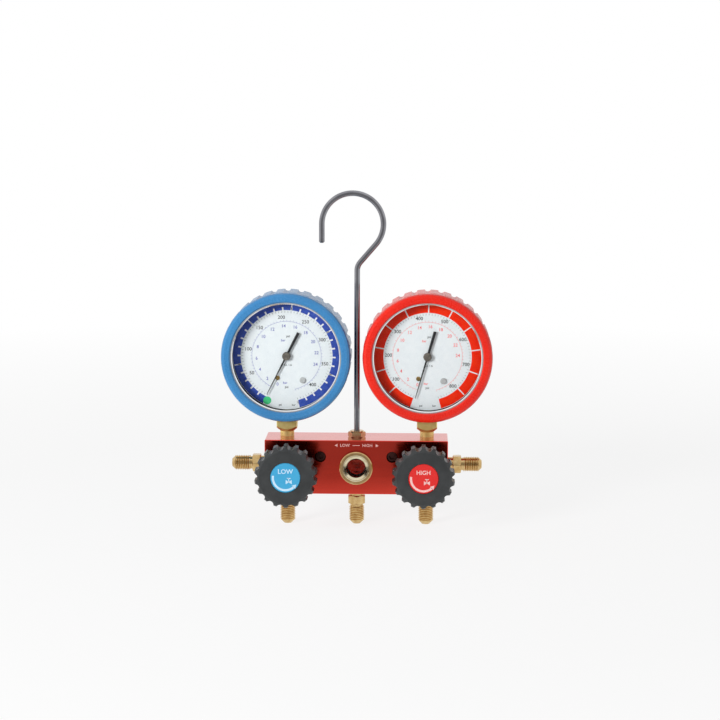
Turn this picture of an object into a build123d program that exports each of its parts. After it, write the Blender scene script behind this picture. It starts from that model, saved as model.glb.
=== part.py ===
from build123d import *
from math import acos, cos, pi, radians, sin, tan
import os

# Refrigerant manifold gauge: a two-valve bar with a sight glass, two 80 mm gauges in rubber
# boots, flare fittings for the hoses and a swivelling hook.
#
# Millimetres. +Z is up, the dials and knobs face -Y, the low side is at -X.
# The origin is on the centre hose port's axis, at the outer end of its thread.
# "Height" on a gauge or a valve is measured towards the front from the bar's middle plane.

# ---- driving dimensions ----

# bar
BLOCK_WIDTH = 131.0
BLOCK_DEPTH = 31.8
BLOCK_HEIGHT = 39.0
BLOCK_EDGE = 0.5
PORT_PITCH = 100.0
VALVE_PITCH = 96.0
GAUGE_PITCH = 101.0
PLUG_PITCH = 51.2
PLUG_RISE = 7.6
PLUG_R = 4.0
PLUG_SUNK = 2.0
PLUG_POCKET = 6.5
PLUG_LENGTH = 4.4
PLUG_SOCKET = 2.5
GALLERY_R = 3.0
GALLERY_Y = 9.0
GALLERY_RISE = 3.7
WAY_UP_R = 2.2
WAY_UP_Y = -2.0
WAY_UP_TOP = 30.0

# 1/4 inch SAE flare fittings
FLARE_THREAD_R = 5.556
FLARE_THREAD_LENGTH = 11.1
FLARE_CONE_LENGTH = 2.2
FLARE_CONE_R = 4.9
FLARE_GROOVE = 1.5
FLARE_GROOVE_R = 4.6
FLARE_HEX_AF = 12.0
FLARE_HEX_LENGTH = 6.0
FLARE_NECK = 3.7
FLARE_NECK_R = 5.0
FLARE_SHANK_R = 4.9
FLARE_SHANK = 9.0
FLARE_BORE_R = 2.4

# gauge, radii about the pointer's axis, heights from the bar's middle plane
GAUGE_RISE = 78.2
CASE_R = 40.5
CASE_WALL = 1.3
CASE_FRONT = 7.6
CASE_BACK = -16.5
CASE_FLANGE_R = 41.0
BEZEL_R = 42.0
BEZEL_WINDOW_R = 38.2
BEZEL_FRONT = 11.8
BEZEL_LIP = 1.0
BEZEL_CRIMP = 5.4
LENS_THICKNESS = 2.0
DIAL_R = 38.9
DIAL_FRONT = 1.6
DIAL_THICKNESS = 0.6
BOOT_WINDOW_R = 39.6
BOOT_LIP_R = 46.2
BOOT_LIP_FRONT = 14.1
BOOT_LIP_DEPTH = 6.0
BOOT_GRIP_R = 46.4
BOOT_BACK = -19.8
BOOT_BACK_HOLE_R = 33.0
BOOT_FLUTES = 30
BOOT_FLUTE_R = 2.3
BOOT_FLUTE_DEPTH = 1.6
BOOT_SLOT_GAP = 0.6

# gauge movement, places as (right, up) from the pointer's axis, depths as y
STEM_Y = 4.0
STEM_R = 5.0
STEM_THREAD = STEM_R - 0.1
STEM_DEPTH = 11.0
STEM_BORE_R = 1.4
SOCKET_BLOCK_Y = 5.6
SOCKET_BLOCK_TOP = 26.0
WRENCH_SQUARE = 14.5
MODULE = 0.3
PINION_TEETH = 12
SECTOR_TEETH = 120
PRESSURE_ANGLE = radians(20)
BACKLASH = 0.06
SECTOR_BEARING = 310.0
SECTOR_TRAVEL = 32.0
TAIL_LENGTH = 7.5
TAIL_ANGLE = -36.5
LINK_LENGTH = 12.5
ARBOR_R = 0.7
ARBOR_TOP = 4.6
PINION_LENGTH = 2.6
PINION_Y = 7.2
LINK_PIN_R = 0.6
LINK_THICKNESS = 0.8
LINK_EYE_R = 0.85
SECTOR_HUB_R = 2.2
BEARING_GAP = 0.05
FRONT_PLATE_Y = 2.0
LINK_Y = 4.0
SECTOR_Y = 5.3
HAIRSPRING_Y = 7.7
BACK_PLATE_Y = 9.0
PLATE = 1.0
PLATE_CORNER_R = 2.6
FOOT_TOP = -24.5
FOOT_BOTTOM = -26.0
FOOT_WIDTH = 11.0
SCREW_POSTS = [(-6.5, -16.0), (11.5, -17.5)]
DIAL_SCREW_R = 0.6
DIAL_SCREW_HEAD_R = 1.6
DIAL_SCREW_HEAD = 0.8
DIAL_SCREW_END = -1.5
SOCKET_SCREW_R = 1.2
SOCKET_SCREW_HEAD_R = 2.4
SOCKET_SCREW_OFFSETS = (-2.9, 2.9)
SOCKET_SCREW_DROP = 34.8
SOCKET_SCREW_END = -9.0
TUBE_R = 29.0
TUBE_Y = 6.0
TUBE_THICKNESS = 3.2
TUBE_WIDTH = 8.0
TUBE_WALL = 0.5
TUBE_TIP_ANGLE = -14.0
TUBE_ROOT_ANGLE = 260.0
HAIRSPRING_INNER_R = 1.3
HAIRSPRING_OUTER_R = 4.6
HAIRSPRING_TURNS = 4
HAIRSPRING_END = -50.0
HAIRSPRING_STRIP = 0.16
HAIRSPRING_WIDTH = 0.6
NEEDLE_REST = {"low": 27.0, "high": 16.0}
NEEDLE_TIP = 28.5
NEEDLE_TAIL = 19.0
NEEDLE_SHOULDER = 7.5
NEEDLE_HEIGHT = 3.2
NEEDLE_THICKNESS = 0.4
NEEDLE_HUB_R = 3.0
NEEDLE_HUB_BOTTOM = 2.1
NEEDLE_HUB_TOP = 5.0

# valves, heights from the bar's middle plane
KNOB_R = 22.0
KNOB_FRONT = 54.8
KNOB_BACK = 40.6
KNOB_LOBES = 18
KNOB_NOTCH_R = 2.6
KNOB_NOTCH_DEPTH = 2.5
KNOB_HUB = 4.0
KNOB_HUB_R = 8.6
KNOB_RIBS = 5
KNOB_RIB = 1.8
KNOB_POCKET = 9.0
KNOB_WALL = 4.2
BADGE_R = 10.5
STEM_THREAD_R = 4.0
STEM_FOOT_R = 2.0
STEM_SHOULDER = 41.0
STEM_SHAFT_R = 3.0
STEM_SQUARE = 4.6
STEM_SQUARE_LENGTH = 9.0
KNOB_SCREW_R = 1.5
SEAT_FLOOR = -2.0
SEAT_DISC_R = 3.6
SEAT_DISC_TOP = 2.2
ORIFICE_R = 2.2
ORIFICE_END = -9.0
CHAMBER_R = 5.2
GLAND_FLOOR = 6.0
BONNET_R = 7.0
BONNET_HEX_AF = 17.0
BONNET_HEX_TOP = 22.5
PACKING_NUT_AF = 13.0
PACKING_NUT_BOTTOM = 28.0
PACKING_NUT_TOP = 31.6
SEAL_RING_R = 0.74
SEAL_GROOVE_R = 4.6

# sight glass
SIGHT_RING_R = 11.85
SIGHT_RING_FRONT = 19.9
SIGHT_WINDOW_R = 7.2
SIGHT_MOUTH_R = 8.8
SIGHT_POCKET_R = 10.4
SIGHT_POCKET_FLOOR = 8.0
SIGHT_WELL_R = 6.5
SIGHT_WELL_DEPTH = 8.0
SIGHT_GLASS_R = 9.0
SIGHT_GLASS_BACK = 9.0
SIGHT_GLASS_FRONT = 12.0

# hook
HOOK_WIRE_R = 2.05
HOOK_R = 21.9
HOOK_CENTRE_X = -3.3
HOOK_CENTRE_Z = 214.5
HOOK_LEAN = 40.9
HOOK_BEND_R = 9.0
HOOK_TIP_LENGTH = 12.5
HOOK_NUT_AF = 11.0
HOOK_NUT_HEIGHT = 4.6
HOOK_BUSH_R = 4.0
HOOK_BUSH_DEPTH = 6.8
HOOK_COLLAR_R = 3.4
HOOK_COLLAR = 2.6
HOOK_HOLE_DEPTH = 10.0

# ---- worked out from them ----

FLARE_REACH = FLARE_NECK + FLARE_HEX_LENGTH + FLARE_GROOVE + FLARE_THREAD_LENGTH
BLOCK_BOTTOM = FLARE_REACH
BLOCK_Z = BLOCK_BOTTOM + BLOCK_HEIGHT / 2
BLOCK_TOP = BLOCK_BOTTOM + BLOCK_HEIGHT
BLOCK_FRONT = BLOCK_DEPTH / 2
GAUGE_Z = BLOCK_Z + GAUGE_RISE
SIDES = {"low": -1, "high": 1}


# ---- how pieces are placed and turned ----

def polar(radius, degrees, start=(0.0, 0.0)):
    """Point at a distance and angle from a start."""
    return (start[0] + radius * cos(radians(degrees)), start[1] + radius * sin(radians(degrees)))


def front_seat(x, z, height=0.0):
    """Plane that faces the front: its own x is right and its own y is up."""
    return Plane(origin=(x, -height, z), x_dir=(1, 0, 0), z_dir=(0, -1, 0))


def lengthwise(seat):
    """Plane through the seat's normal, where x is the radius and y runs along the normal."""
    return Plane(origin=seat.origin, x_dir=seat.x_dir, z_dir=seat.x_dir.cross(seat.z_dir))


def turn(seat, *outline, mode=Mode.ADD):
    """Turn a closed outline of (radius, height) points about the seat's normal."""
    with BuildSketch(lengthwise(seat)) as section:
        with BuildLine():
            Polyline(*outline, close=True)
        make_face()
    return revolve(section.sketch.faces(), axis=Axis(seat.origin, seat.z_dir), mode=mode)


def rod(seat, radius, bottom, top, mode=Mode.ADD):
    """Plain round bar along the seat's normal."""
    with BuildSketch(seat.offset(bottom)) as section:
        Circle(radius)
    extrude(section.sketch.faces(), amount=top - bottom, mode=mode)


def tube(seat, outer, inner, bottom, top, mode=Mode.ADD):
    """Plain ring along the seat's normal."""
    with BuildSketch(seat.offset(bottom)) as section:
        Circle(outer)
        Circle(inner, mode=Mode.SUBTRACT)
    extrude(section.sketch.faces(), amount=top - bottom, mode=mode)


def hexagon(seat, across_flats, bottom, top, edge=0.6, turned=0.0):
    """Hexagon bar along the seat's normal, its corners turned down at both ends."""
    flat = across_flats / 2
    corner = flat / cos(pi / 6)
    with BuildSketch(seat.offset(bottom)) as section:
        RegularPolygon(flat, 6, major_radius=False, rotation=turned)
    prism = extrude(section.sketch.faces(), amount=top - bottom, mode=Mode.PRIVATE)
    lathe = turn(
        seat,
        (0, bottom),
        (flat, bottom),
        (corner, bottom + edge),
        (corner, top - edge),
        (flat, top),
        (0, top),
        mode=Mode.PRIVATE,
    )
    add(prism & lathe)


def finish(piece, label):
    piece.part.label = label
    export_step(piece.part, f"parts/{label}.step")


# ---- bar ----

def manifold_block():
    with BuildPart() as block:
        with Locations((0, 0, BLOCK_Z)):
            Box(BLOCK_WIDTH, BLOCK_DEPTH, BLOCK_HEIGHT)
        chamfer(block.edges(), BLOCK_EDGE)

        # the gallery behind both seats and the sight glass
        gallery_start = (-VALVE_PITCH / 2, GALLERY_Y, BLOCK_Z + GALLERY_RISE)
        gallery = Plane(origin=gallery_start, x_dir=(0, 1, 0), z_dir=(1, 0, 0))
        rod(gallery, GALLERY_R, 0, VALVE_PITCH, mode=Mode.SUBTRACT)

        for side in SIDES.values():
            # valve: gland thread, chamber and seat orifice
            valve = front_seat(side * VALVE_PITCH / 2, BLOCK_Z)
            rod(valve, BONNET_R, GLAND_FLOOR, BLOCK_FRONT, mode=Mode.SUBTRACT)
            rod(valve, CHAMBER_R, SEAT_FLOOR, GLAND_FLOOR, mode=Mode.SUBTRACT)
            rod(valve, ORIFICE_R, ORIFICE_END, SEAT_FLOOR, mode=Mode.SUBTRACT)
            # hose port, the way up past the stem, and the gauge's thread
            x = side * PORT_PITCH / 2
            with Locations(port_seat(x)):
                Hole(FLARE_SHANK_R, FLARE_SHANK + 1.0)
            way_up = Plane.XY.offset(BLOCK_BOTTOM).move(Location((x, WAY_UP_Y, 0)))
            rod(way_up, WAY_UP_R, FLARE_SHANK, WAY_UP_TOP, mode=Mode.SUBTRACT)
            with Locations(gauge_seat(side)):
                Hole(STEM_THREAD, STEM_DEPTH + 1.0)
            # end fitting
            with Locations(end_seat(side)):
                Hole(FLARE_SHANK_R, FLARE_SHANK + 1.0)
            # socket plug over the drilling that reaches the gallery
            with Locations(plug_seat(side)):
                CounterBoreHole(PLUG_R / 2, PLUG_R, PLUG_POCKET, BLOCK_FRONT + GALLERY_Y - 1.0)

        # centre port, sight glass pocket and hook bush
        with Locations(port_seat(0)):
            CounterBoreHole(FLARE_BORE_R, FLARE_SHANK_R, FLARE_SHANK + 1.0, BLOCK_HEIGHT / 2)
        sight = front_seat(0, BLOCK_Z)
        rod(sight, SIGHT_POCKET_R, SIGHT_POCKET_FLOOR, BLOCK_FRONT, mode=Mode.SUBTRACT)
        rod(sight, SIGHT_WELL_R, -SIGHT_WELL_DEPTH, SIGHT_POCKET_FLOOR, mode=Mode.SUBTRACT)
        with Locations(hook_seat()):
            Hole(HOOK_BUSH_R, HOOK_HOLE_DEPTH)
    finish(block, "manifold_block")


def port_seat(x):
    """Underside of the bar at a hose port, facing down."""
    return Plane(origin=(x, 0, BLOCK_BOTTOM), x_dir=(1, 0, 0), z_dir=(0, 0, -1))


def end_seat(side):
    """End face of the bar at its fitting, facing outwards."""
    return Plane(origin=(side * BLOCK_WIDTH / 2, 0, BLOCK_Z), x_dir=(0, 0, 1), z_dir=(side, 0, 0))


def gauge_seat(side):
    """Top of the bar at the gauge's stem, facing up."""
    return Plane(origin=(side * GAUGE_PITCH / 2, STEM_Y, BLOCK_TOP), x_dir=(1, 0, 0), z_dir=(0, 0, 1))


def plug_seat(side):
    """Front of the bar at a socket plug."""
    return front_seat(side * PLUG_PITCH / 2, BLOCK_Z + PLUG_RISE, BLOCK_FRONT)


def hook_seat():
    """Top of the bar at the hook's bush, facing up."""
    return Plane(origin=(0, 0, BLOCK_TOP), x_dir=(1, 0, 0), z_dir=(0, 0, 1))


def flare_fitting(seat, through=True):
    """Half-union that stands on the seat: shank, neck, hexagon, groove, thread and 45 degree cone."""
    thread_start = FLARE_NECK + FLARE_HEX_LENGTH + FLARE_GROOVE
    cone_start = thread_start + FLARE_THREAD_LENGTH
    tip = cone_start + FLARE_CONE_LENGTH
    turn(
        seat,
        (0, -FLARE_SHANK),
        (FLARE_SHANK_R - 0.5, -FLARE_SHANK),
        (FLARE_SHANK_R, 0.5 - FLARE_SHANK),
        (FLARE_SHANK_R, 0),
        (FLARE_NECK_R, 0),
        (FLARE_NECK_R, FLARE_NECK),
        (FLARE_GROOVE_R, FLARE_NECK + FLARE_HEX_LENGTH),
        (FLARE_GROOVE_R, thread_start),
        (FLARE_THREAD_R, thread_start),
        (FLARE_THREAD_R, cone_start),
        (FLARE_CONE_R, cone_start),
        (FLARE_CONE_R - FLARE_CONE_LENGTH, tip),
        (0, tip),
    )
    hexagon(seat, FLARE_HEX_AF, FLARE_NECK, FLARE_NECK + FLARE_HEX_LENGTH, turned=30.0)
    bore_bottom = -FLARE_SHANK if through else FLARE_NECK
    rod(seat, FLARE_BORE_R, bore_bottom, tip, mode=Mode.SUBTRACT)


def fittings():
    for label, x in (("low_port", -PORT_PITCH / 2), ("centre_port", 0), ("high_port", PORT_PITCH / 2)):
        with BuildPart() as port:
            flare_fitting(port_seat(x))
        finish(port, label)

    # the end fittings are blind: they only keep the ends of idle hoses
    with BuildPart() as park:
        for side in SIDES.values():
            flare_fitting(end_seat(side), through=False)
    finish(park, "park_fittings")

    with BuildPart() as plugs:
        for side in SIDES.values():
            bottom = -PLUG_SUNK - PLUG_LENGTH
            turn(
                plug_seat(side),
                (0, bottom),
                (PLUG_R - 0.6, bottom),
                (PLUG_R, bottom + 0.6),
                (PLUG_R, -PLUG_SUNK - 0.6),
                (PLUG_R - 0.6, -PLUG_SUNK),
                (0, -PLUG_SUNK),
            )
            with BuildSketch(plug_seat(side).offset(-PLUG_SUNK)) as socket:
                RegularPolygon(PLUG_R / 2, 6, major_radius=False)
            extrude(socket.sketch.faces(), amount=-PLUG_SOCKET, mode=Mode.SUBTRACT)
    finish(plugs, "plug_screws")


def sight_glass():
    seat = front_seat(0, BLOCK_Z)
    with BuildPart() as ring:
        turn(
            seat,
            (SIGHT_GLASS_R + BEARING_GAP, SIGHT_POCKET_FLOOR + 0.2),
            (SIGHT_POCKET_R, SIGHT_POCKET_FLOOR + 0.2),
            (SIGHT_POCKET_R, BLOCK_FRONT),
            (SIGHT_RING_R, BLOCK_FRONT),
            (SIGHT_RING_R, SIGHT_RING_FRONT - 0.6),
            (SIGHT_RING_R - 0.6, SIGHT_RING_FRONT),
            (SIGHT_MOUTH_R, SIGHT_RING_FRONT),
            (SIGHT_WINDOW_R, SIGHT_GLASS_FRONT + 1.0),
            (SIGHT_WINDOW_R, SIGHT_GLASS_FRONT),
            (SIGHT_GLASS_R + BEARING_GAP, SIGHT_GLASS_FRONT),
        )
    finish(ring, "sight_ring")

    with BuildPart() as glass:
        rod(seat, SIGHT_GLASS_R, SIGHT_GLASS_BACK, SIGHT_GLASS_FRONT)
    finish(glass, "sight_glass")

    with BuildPart() as gasket:
        tube(seat, SIGHT_GLASS_R, SIGHT_WELL_R + 0.1, SIGHT_POCKET_FLOOR, SIGHT_GLASS_BACK)
    finish(gasket, "sight_gasket")


# ---- hook ----

def hook():
    collar_top = BLOCK_TOP - HOOK_BUSH_DEPTH - 0.3
    collar_bottom = collar_top - HOOK_COLLAR
    loop_centre = (HOOK_CENTRE_X, HOOK_CENTRE_Z)
    loop_start = polar(HOOK_R, -HOOK_LEAN, loop_centre)
    loop_end = polar(HOOK_R, 180, loop_centre)
    # the slope from the upright to the loop leans by the angle at which it meets the loop
    corner_z = loop_start[1] - loop_start[0] / tan(radians(HOOK_LEAN))
    bend_start_z = corner_z - HOOK_BEND_R * tan(radians(HOOK_LEAN / 2))
    bend_centre = (HOOK_BEND_R, bend_start_z)
    bend_end = polar(HOOK_BEND_R, 180 - HOOK_LEAN, bend_centre)
    with BuildPart() as wire:
        with BuildLine(front_seat(0, 0)) as route:
            Line((0, collar_bottom), (0, bend_start_z))
            ThreePointArc((0, bend_start_z), polar(HOOK_BEND_R, 180 - HOOK_LEAN / 2, bend_centre), bend_end)
            Line(bend_end, loop_start)
            ThreePointArc(loop_start, polar(HOOK_R, 90, loop_centre), loop_end)
            Line(loop_end, (loop_end[0], loop_end[1] - HOOK_TIP_LENGTH))
        with BuildSketch(Plane.XY.offset(collar_bottom)):
            Circle(HOOK_WIRE_R)
        sweep(path=route.wire())
        rod(Plane.XY, HOOK_COLLAR_R, collar_bottom, collar_top)
        tip_seat = Plane(
            origin=(HOOK_CENTRE_X - HOOK_R, 0, HOOK_CENTRE_Z - HOOK_TIP_LENGTH),
            x_dir=(1, 0, 0),
            z_dir=(0, 0, -1),
        )
        turn(tip_seat, (0, 0), (HOOK_WIRE_R, 0), (HOOK_WIRE_R - 0.7, 0.8), (0, 0.8))
    finish(wire, "hook_rod")

    seat = hook_seat()
    with BuildPart() as bush:
        turn(
            seat,
            (0, -HOOK_BUSH_DEPTH),
            (HOOK_BUSH_R - 0.4, -HOOK_BUSH_DEPTH),
            (HOOK_BUSH_R, 0.4 - HOOK_BUSH_DEPTH),
            (HOOK_BUSH_R, 0),
            (HOOK_BUSH_R + 0.6, 0),
            (HOOK_BUSH_R + 0.6, HOOK_NUT_HEIGHT),
            (0, HOOK_NUT_HEIGHT),
        )
        hexagon(seat, HOOK_NUT_AF, 0, HOOK_NUT_HEIGHT - 0.6)
        wire_hole = HOOK_WIRE_R + BEARING_GAP
        rod(seat, wire_hole, -HOOK_BUSH_DEPTH, HOOK_NUT_HEIGHT, mode=Mode.SUBTRACT)
    finish(bush, "hook_nut")


# ---- valves ----

def valve(name, side):
    seat = front_seat(side * VALVE_PITCH / 2, BLOCK_Z)

    with BuildPart() as disc:
        turn(
            seat,
            (0, SEAT_FLOOR),
            (SEAT_DISC_R - 0.5, SEAT_FLOOR),
            (SEAT_DISC_R, SEAT_FLOOR + 0.5),
            (SEAT_DISC_R, SEAT_DISC_TOP),
            (STEM_FOOT_R + BEARING_GAP, SEAT_DISC_TOP),
            (STEM_FOOT_R + BEARING_GAP, -0.4),
            (0, -0.4),
        )
    finish(disc, f"{name}_seat_disc")

    with BuildPart() as stem:
        turn(
            seat,
            (0, -0.3),
            (STEM_FOOT_R, -0.3),
            (STEM_FOOT_R, SEAT_DISC_TOP + 0.1),
            (STEM_THREAD_R - 0.8, SEAT_DISC_TOP + 0.1),
            (STEM_THREAD_R - 0.8, 8.0),
            (STEM_THREAD_R, 8.8),
            (STEM_THREAD_R, 22.2),
            (STEM_SHAFT_R, 23.2),
            (STEM_SHAFT_R, STEM_SHOULDER),
            (0, STEM_SHOULDER),
        )
        with BuildSketch(seat.offset(STEM_SHOULDER)):
            Rectangle(STEM_SQUARE, STEM_SQUARE)
        extrude(amount=STEM_SQUARE_LENGTH)
        square_end = STEM_SHOULDER + STEM_SQUARE_LENGTH
        rod(seat, KNOB_SCREW_R, STEM_SHOULDER, square_end, mode=Mode.SUBTRACT)
    finish(stem, f"{name}_valve_stem")

    with BuildPart() as bonnet:
        turn(
            seat,
            (0, GLAND_FLOOR),
            (BONNET_R - 0.6, GLAND_FLOOR),
            (BONNET_R, GLAND_FLOOR + 0.6),
            (BONNET_R, PACKING_NUT_BOTTOM),
            (BONNET_R - 2.0, PACKING_NUT_BOTTOM),
            (BONNET_R - 2.0, PACKING_NUT_TOP - 0.6),
            (0, PACKING_NUT_TOP - 0.6),
        )
        hexagon(seat, BONNET_HEX_AF, BLOCK_FRONT, BONNET_HEX_TOP, edge=0.9)
        hexagon(seat, PACKING_NUT_AF, PACKING_NUT_BOTTOM, PACKING_NUT_TOP, turned=15.0)
        thread_end = PACKING_NUT_BOTTOM - 1.6
        groove_start = PACKING_NUT_BOTTOM - 0.4
        rod(seat, STEM_THREAD_R + BEARING_GAP, GLAND_FLOOR, thread_end, mode=Mode.SUBTRACT)
        rod(seat, SEAL_GROOVE_R, groove_start, groove_start + 1.8, mode=Mode.SUBTRACT)
        rod(seat, STEM_SHAFT_R + BEARING_GAP, thread_end - 0.4, PACKING_NUT_TOP, mode=Mode.SUBTRACT)
    finish(bonnet, f"{name}_bonnet")

    with BuildPart() as seal:
        with BuildSketch(lengthwise(seat)):
            with Locations((SEAL_GROOVE_R - 0.75, PACKING_NUT_BOTTOM + 0.5)):
                Circle(SEAL_RING_R)
        revolve(axis=Axis(seat.origin, seat.z_dir))
    finish(seal, f"{name}_stem_seal")


def handwheel(name, side):
    """Lobed knob with a dished back and ribs round its hub, its screw and its badge."""
    seat = front_seat(side * VALVE_PITCH / 2, BLOCK_Z)
    badge_floor = KNOB_FRONT - 1.6
    screw_floor = badge_floor - 3.2
    with BuildPart() as knob:
        turn(
            seat,
            (0, KNOB_BACK - KNOB_HUB),
            (KNOB_HUB_R - 0.6, KNOB_BACK - KNOB_HUB),
            (KNOB_HUB_R, KNOB_BACK),
            (KNOB_R - 1.0, KNOB_BACK),
            (KNOB_R, KNOB_BACK + 1.0),
            (KNOB_R, KNOB_FRONT - 3.2),
            (KNOB_R - 1.0, KNOB_FRONT - 1.2),
            (KNOB_R - 3.4, KNOB_FRONT),
            (0, KNOB_FRONT),
        )
        with BuildSketch(seat.offset(KNOB_BACK)) as notches:
            with PolarLocations(KNOB_R + KNOB_NOTCH_R - KNOB_NOTCH_DEPTH, KNOB_LOBES):
                Circle(KNOB_NOTCH_R)
        extrude(notches.sketch.faces(), amount=KNOB_FRONT - KNOB_BACK, mode=Mode.SUBTRACT)
        with BuildSketch(seat.offset(KNOB_BACK)) as pocket:
            Circle(KNOB_R - KNOB_WALL)
            Circle(KNOB_HUB_R + 0.8, mode=Mode.SUBTRACT)
            with PolarLocations(0, KNOB_RIBS):
                Rectangle(2 * KNOB_R, KNOB_RIB, mode=Mode.SUBTRACT)
        extrude(pocket.sketch.faces(), amount=KNOB_POCKET, mode=Mode.SUBTRACT)
        rod(seat, BADGE_R + 0.1, badge_floor, KNOB_FRONT, mode=Mode.SUBTRACT)
        rod(seat, 4.2, screw_floor, badge_floor, mode=Mode.SUBTRACT)
        with BuildSketch(seat.offset(KNOB_BACK - KNOB_HUB)) as bore:
            Circle(STEM_SHAFT_R + 0.1)
        extrude(bore.sketch.faces(), amount=KNOB_HUB + 0.5, mode=Mode.SUBTRACT)
        with BuildSketch(seat.offset(STEM_SHOULDER)) as square:
            Rectangle(STEM_SQUARE, STEM_SQUARE)
        extrude(square.sketch.faces(), amount=screw_floor - STEM_SHOULDER, mode=Mode.SUBTRACT)
    finish(knob, f"{name}_knob")

    with BuildPart() as screw:
        turn(
            seat,
            (0, STEM_SHOULDER + 2.0),
            (KNOB_SCREW_R, STEM_SHOULDER + 2.0),
            (KNOB_SCREW_R, screw_floor),
            (3.9, screw_floor),
            (3.9, screw_floor + 1.6),
            (3.0, screw_floor + 2.4),
            (0, screw_floor + 2.4),
        )
        with BuildSketch(seat.offset(screw_floor + 2.4)) as cross:
            Rectangle(4.2, 0.9)
            Rectangle(0.9, 4.2)
        extrude(cross.sketch.faces(), amount=-1.4, mode=Mode.SUBTRACT)
    finish(screw, f"{name}_knob_screw")

    with BuildPart() as badge:
        turn(
            seat,
            (0, badge_floor),
            (BADGE_R, badge_floor),
            (BADGE_R, KNOB_FRONT - 0.5),
            (BADGE_R - 0.4, KNOB_FRONT - 0.1),
            (0, KNOB_FRONT - 0.1),
        )
    finish(badge, f"{name}_knob_badge")


# ---- gauge shells ----

COUNTERSINK = (
    (0, CASE_BACK),
    (SOCKET_SCREW_HEAD_R, CASE_BACK),
    (SOCKET_SCREW_R, CASE_BACK + 1.2),
    (0, CASE_BACK + 1.2),
)


def gauge_shells(name, x):
    """Case, crimped bezel, lens, its gasket, dial and the dial's two screws."""
    seat = front_seat(x, GAUGE_Z)
    lens_front = BEZEL_FRONT - BEZEL_LIP
    lens_back = lens_front - LENS_THICKNESS
    stem_hole = Plane(origin=(x, STEM_Y, GAUGE_Z), x_dir=(1, 0, 0), z_dir=(0, 0, -1))

    with BuildPart() as case:
        turn(
            seat,
            (0, CASE_BACK),
            (CASE_R - 2.0, CASE_BACK),
            (CASE_R, CASE_BACK + 2.0),
            (CASE_R, CASE_FRONT - 1.2),
            (CASE_FLANGE_R - 0.1, CASE_FRONT - 1.2),
            (CASE_FLANGE_R - 0.1, CASE_FRONT),
            (CASE_R - CASE_WALL, CASE_FRONT),
            (CASE_R - CASE_WALL, CASE_BACK + 2.5),
            (CASE_R - CASE_WALL - 1.3, CASE_BACK + 1.2),
            (0, CASE_BACK + 1.2),
        )
        rod(stem_hole, STEM_R, CASE_R - 6.0, CASE_R + 1.0, mode=Mode.SUBTRACT)
        for offset in SOCKET_SCREW_OFFSETS:
            turn(front_seat(x + offset, GAUGE_Z - SOCKET_SCREW_DROP), *COUNTERSINK, mode=Mode.SUBTRACT)
    finish(case, f"{name}_gauge_case")

    with BuildPart() as bezel:
        turn(
            seat,
            (BEZEL_WINDOW_R, lens_front),
            (BEZEL_WINDOW_R, lens_front + 0.5),
            (BEZEL_WINDOW_R + 0.6, BEZEL_FRONT),
            (BEZEL_R - 0.8, BEZEL_FRONT),
            (BEZEL_R, BEZEL_FRONT - 0.8),
            (BEZEL_R, BEZEL_CRIMP),
            (CASE_R + 0.1, BEZEL_CRIMP),
            (CASE_R + 0.1, CASE_FRONT - 1.2),
            (CASE_FLANGE_R, CASE_FRONT - 1.2),
            (CASE_FLANGE_R, lens_front),
        )
    finish(bezel, f"{name}_gauge_bezel")

    with BuildPart() as lens:
        rod(seat, CASE_FLANGE_R - 0.1, lens_back, lens_front)
    finish(lens, f"{name}_gauge_lens")

    with BuildPart() as gasket:
        tube(seat, CASE_FLANGE_R - 0.1, CASE_R - CASE_WALL, CASE_FRONT, lens_back)
    finish(gasket, f"{name}_lens_gasket")

    with BuildPart() as dial:
        rod(seat, DIAL_R, DIAL_FRONT - DIAL_THICKNESS, DIAL_FRONT)
        rod(seat, 1.3, 0, DIAL_FRONT, mode=Mode.SUBTRACT)
        for post_x, post_z in SCREW_POSTS:
            rod(front_seat(x + post_x, GAUGE_Z + post_z), 0.65, 0, DIAL_FRONT, mode=Mode.SUBTRACT)
    finish(dial, f"{name}_gauge_dial")

    with BuildPart() as screws:
        for post_x, post_z in SCREW_POSTS:
            post = front_seat(x + post_x, GAUGE_Z + post_z)
            rod(post, DIAL_SCREW_R, DIAL_SCREW_END, DIAL_FRONT)
            turn(
                post,
                (0, DIAL_FRONT),
                (DIAL_SCREW_HEAD_R, DIAL_FRONT),
                (DIAL_SCREW_HEAD_R, DIAL_FRONT + 0.5),
                (DIAL_SCREW_HEAD_R - 0.4, DIAL_FRONT + DIAL_SCREW_HEAD),
                (0, DIAL_FRONT + DIAL_SCREW_HEAD),
            )
            with BuildSketch(post.offset(DIAL_FRONT + DIAL_SCREW_HEAD)) as slot:
                Rectangle(4.0, 0.4, rotation=35.0)
            extrude(slot.sketch.faces(), amount=-0.4, mode=Mode.SUBTRACT)
    finish(screws, f"{name}_dial_screws")


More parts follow.
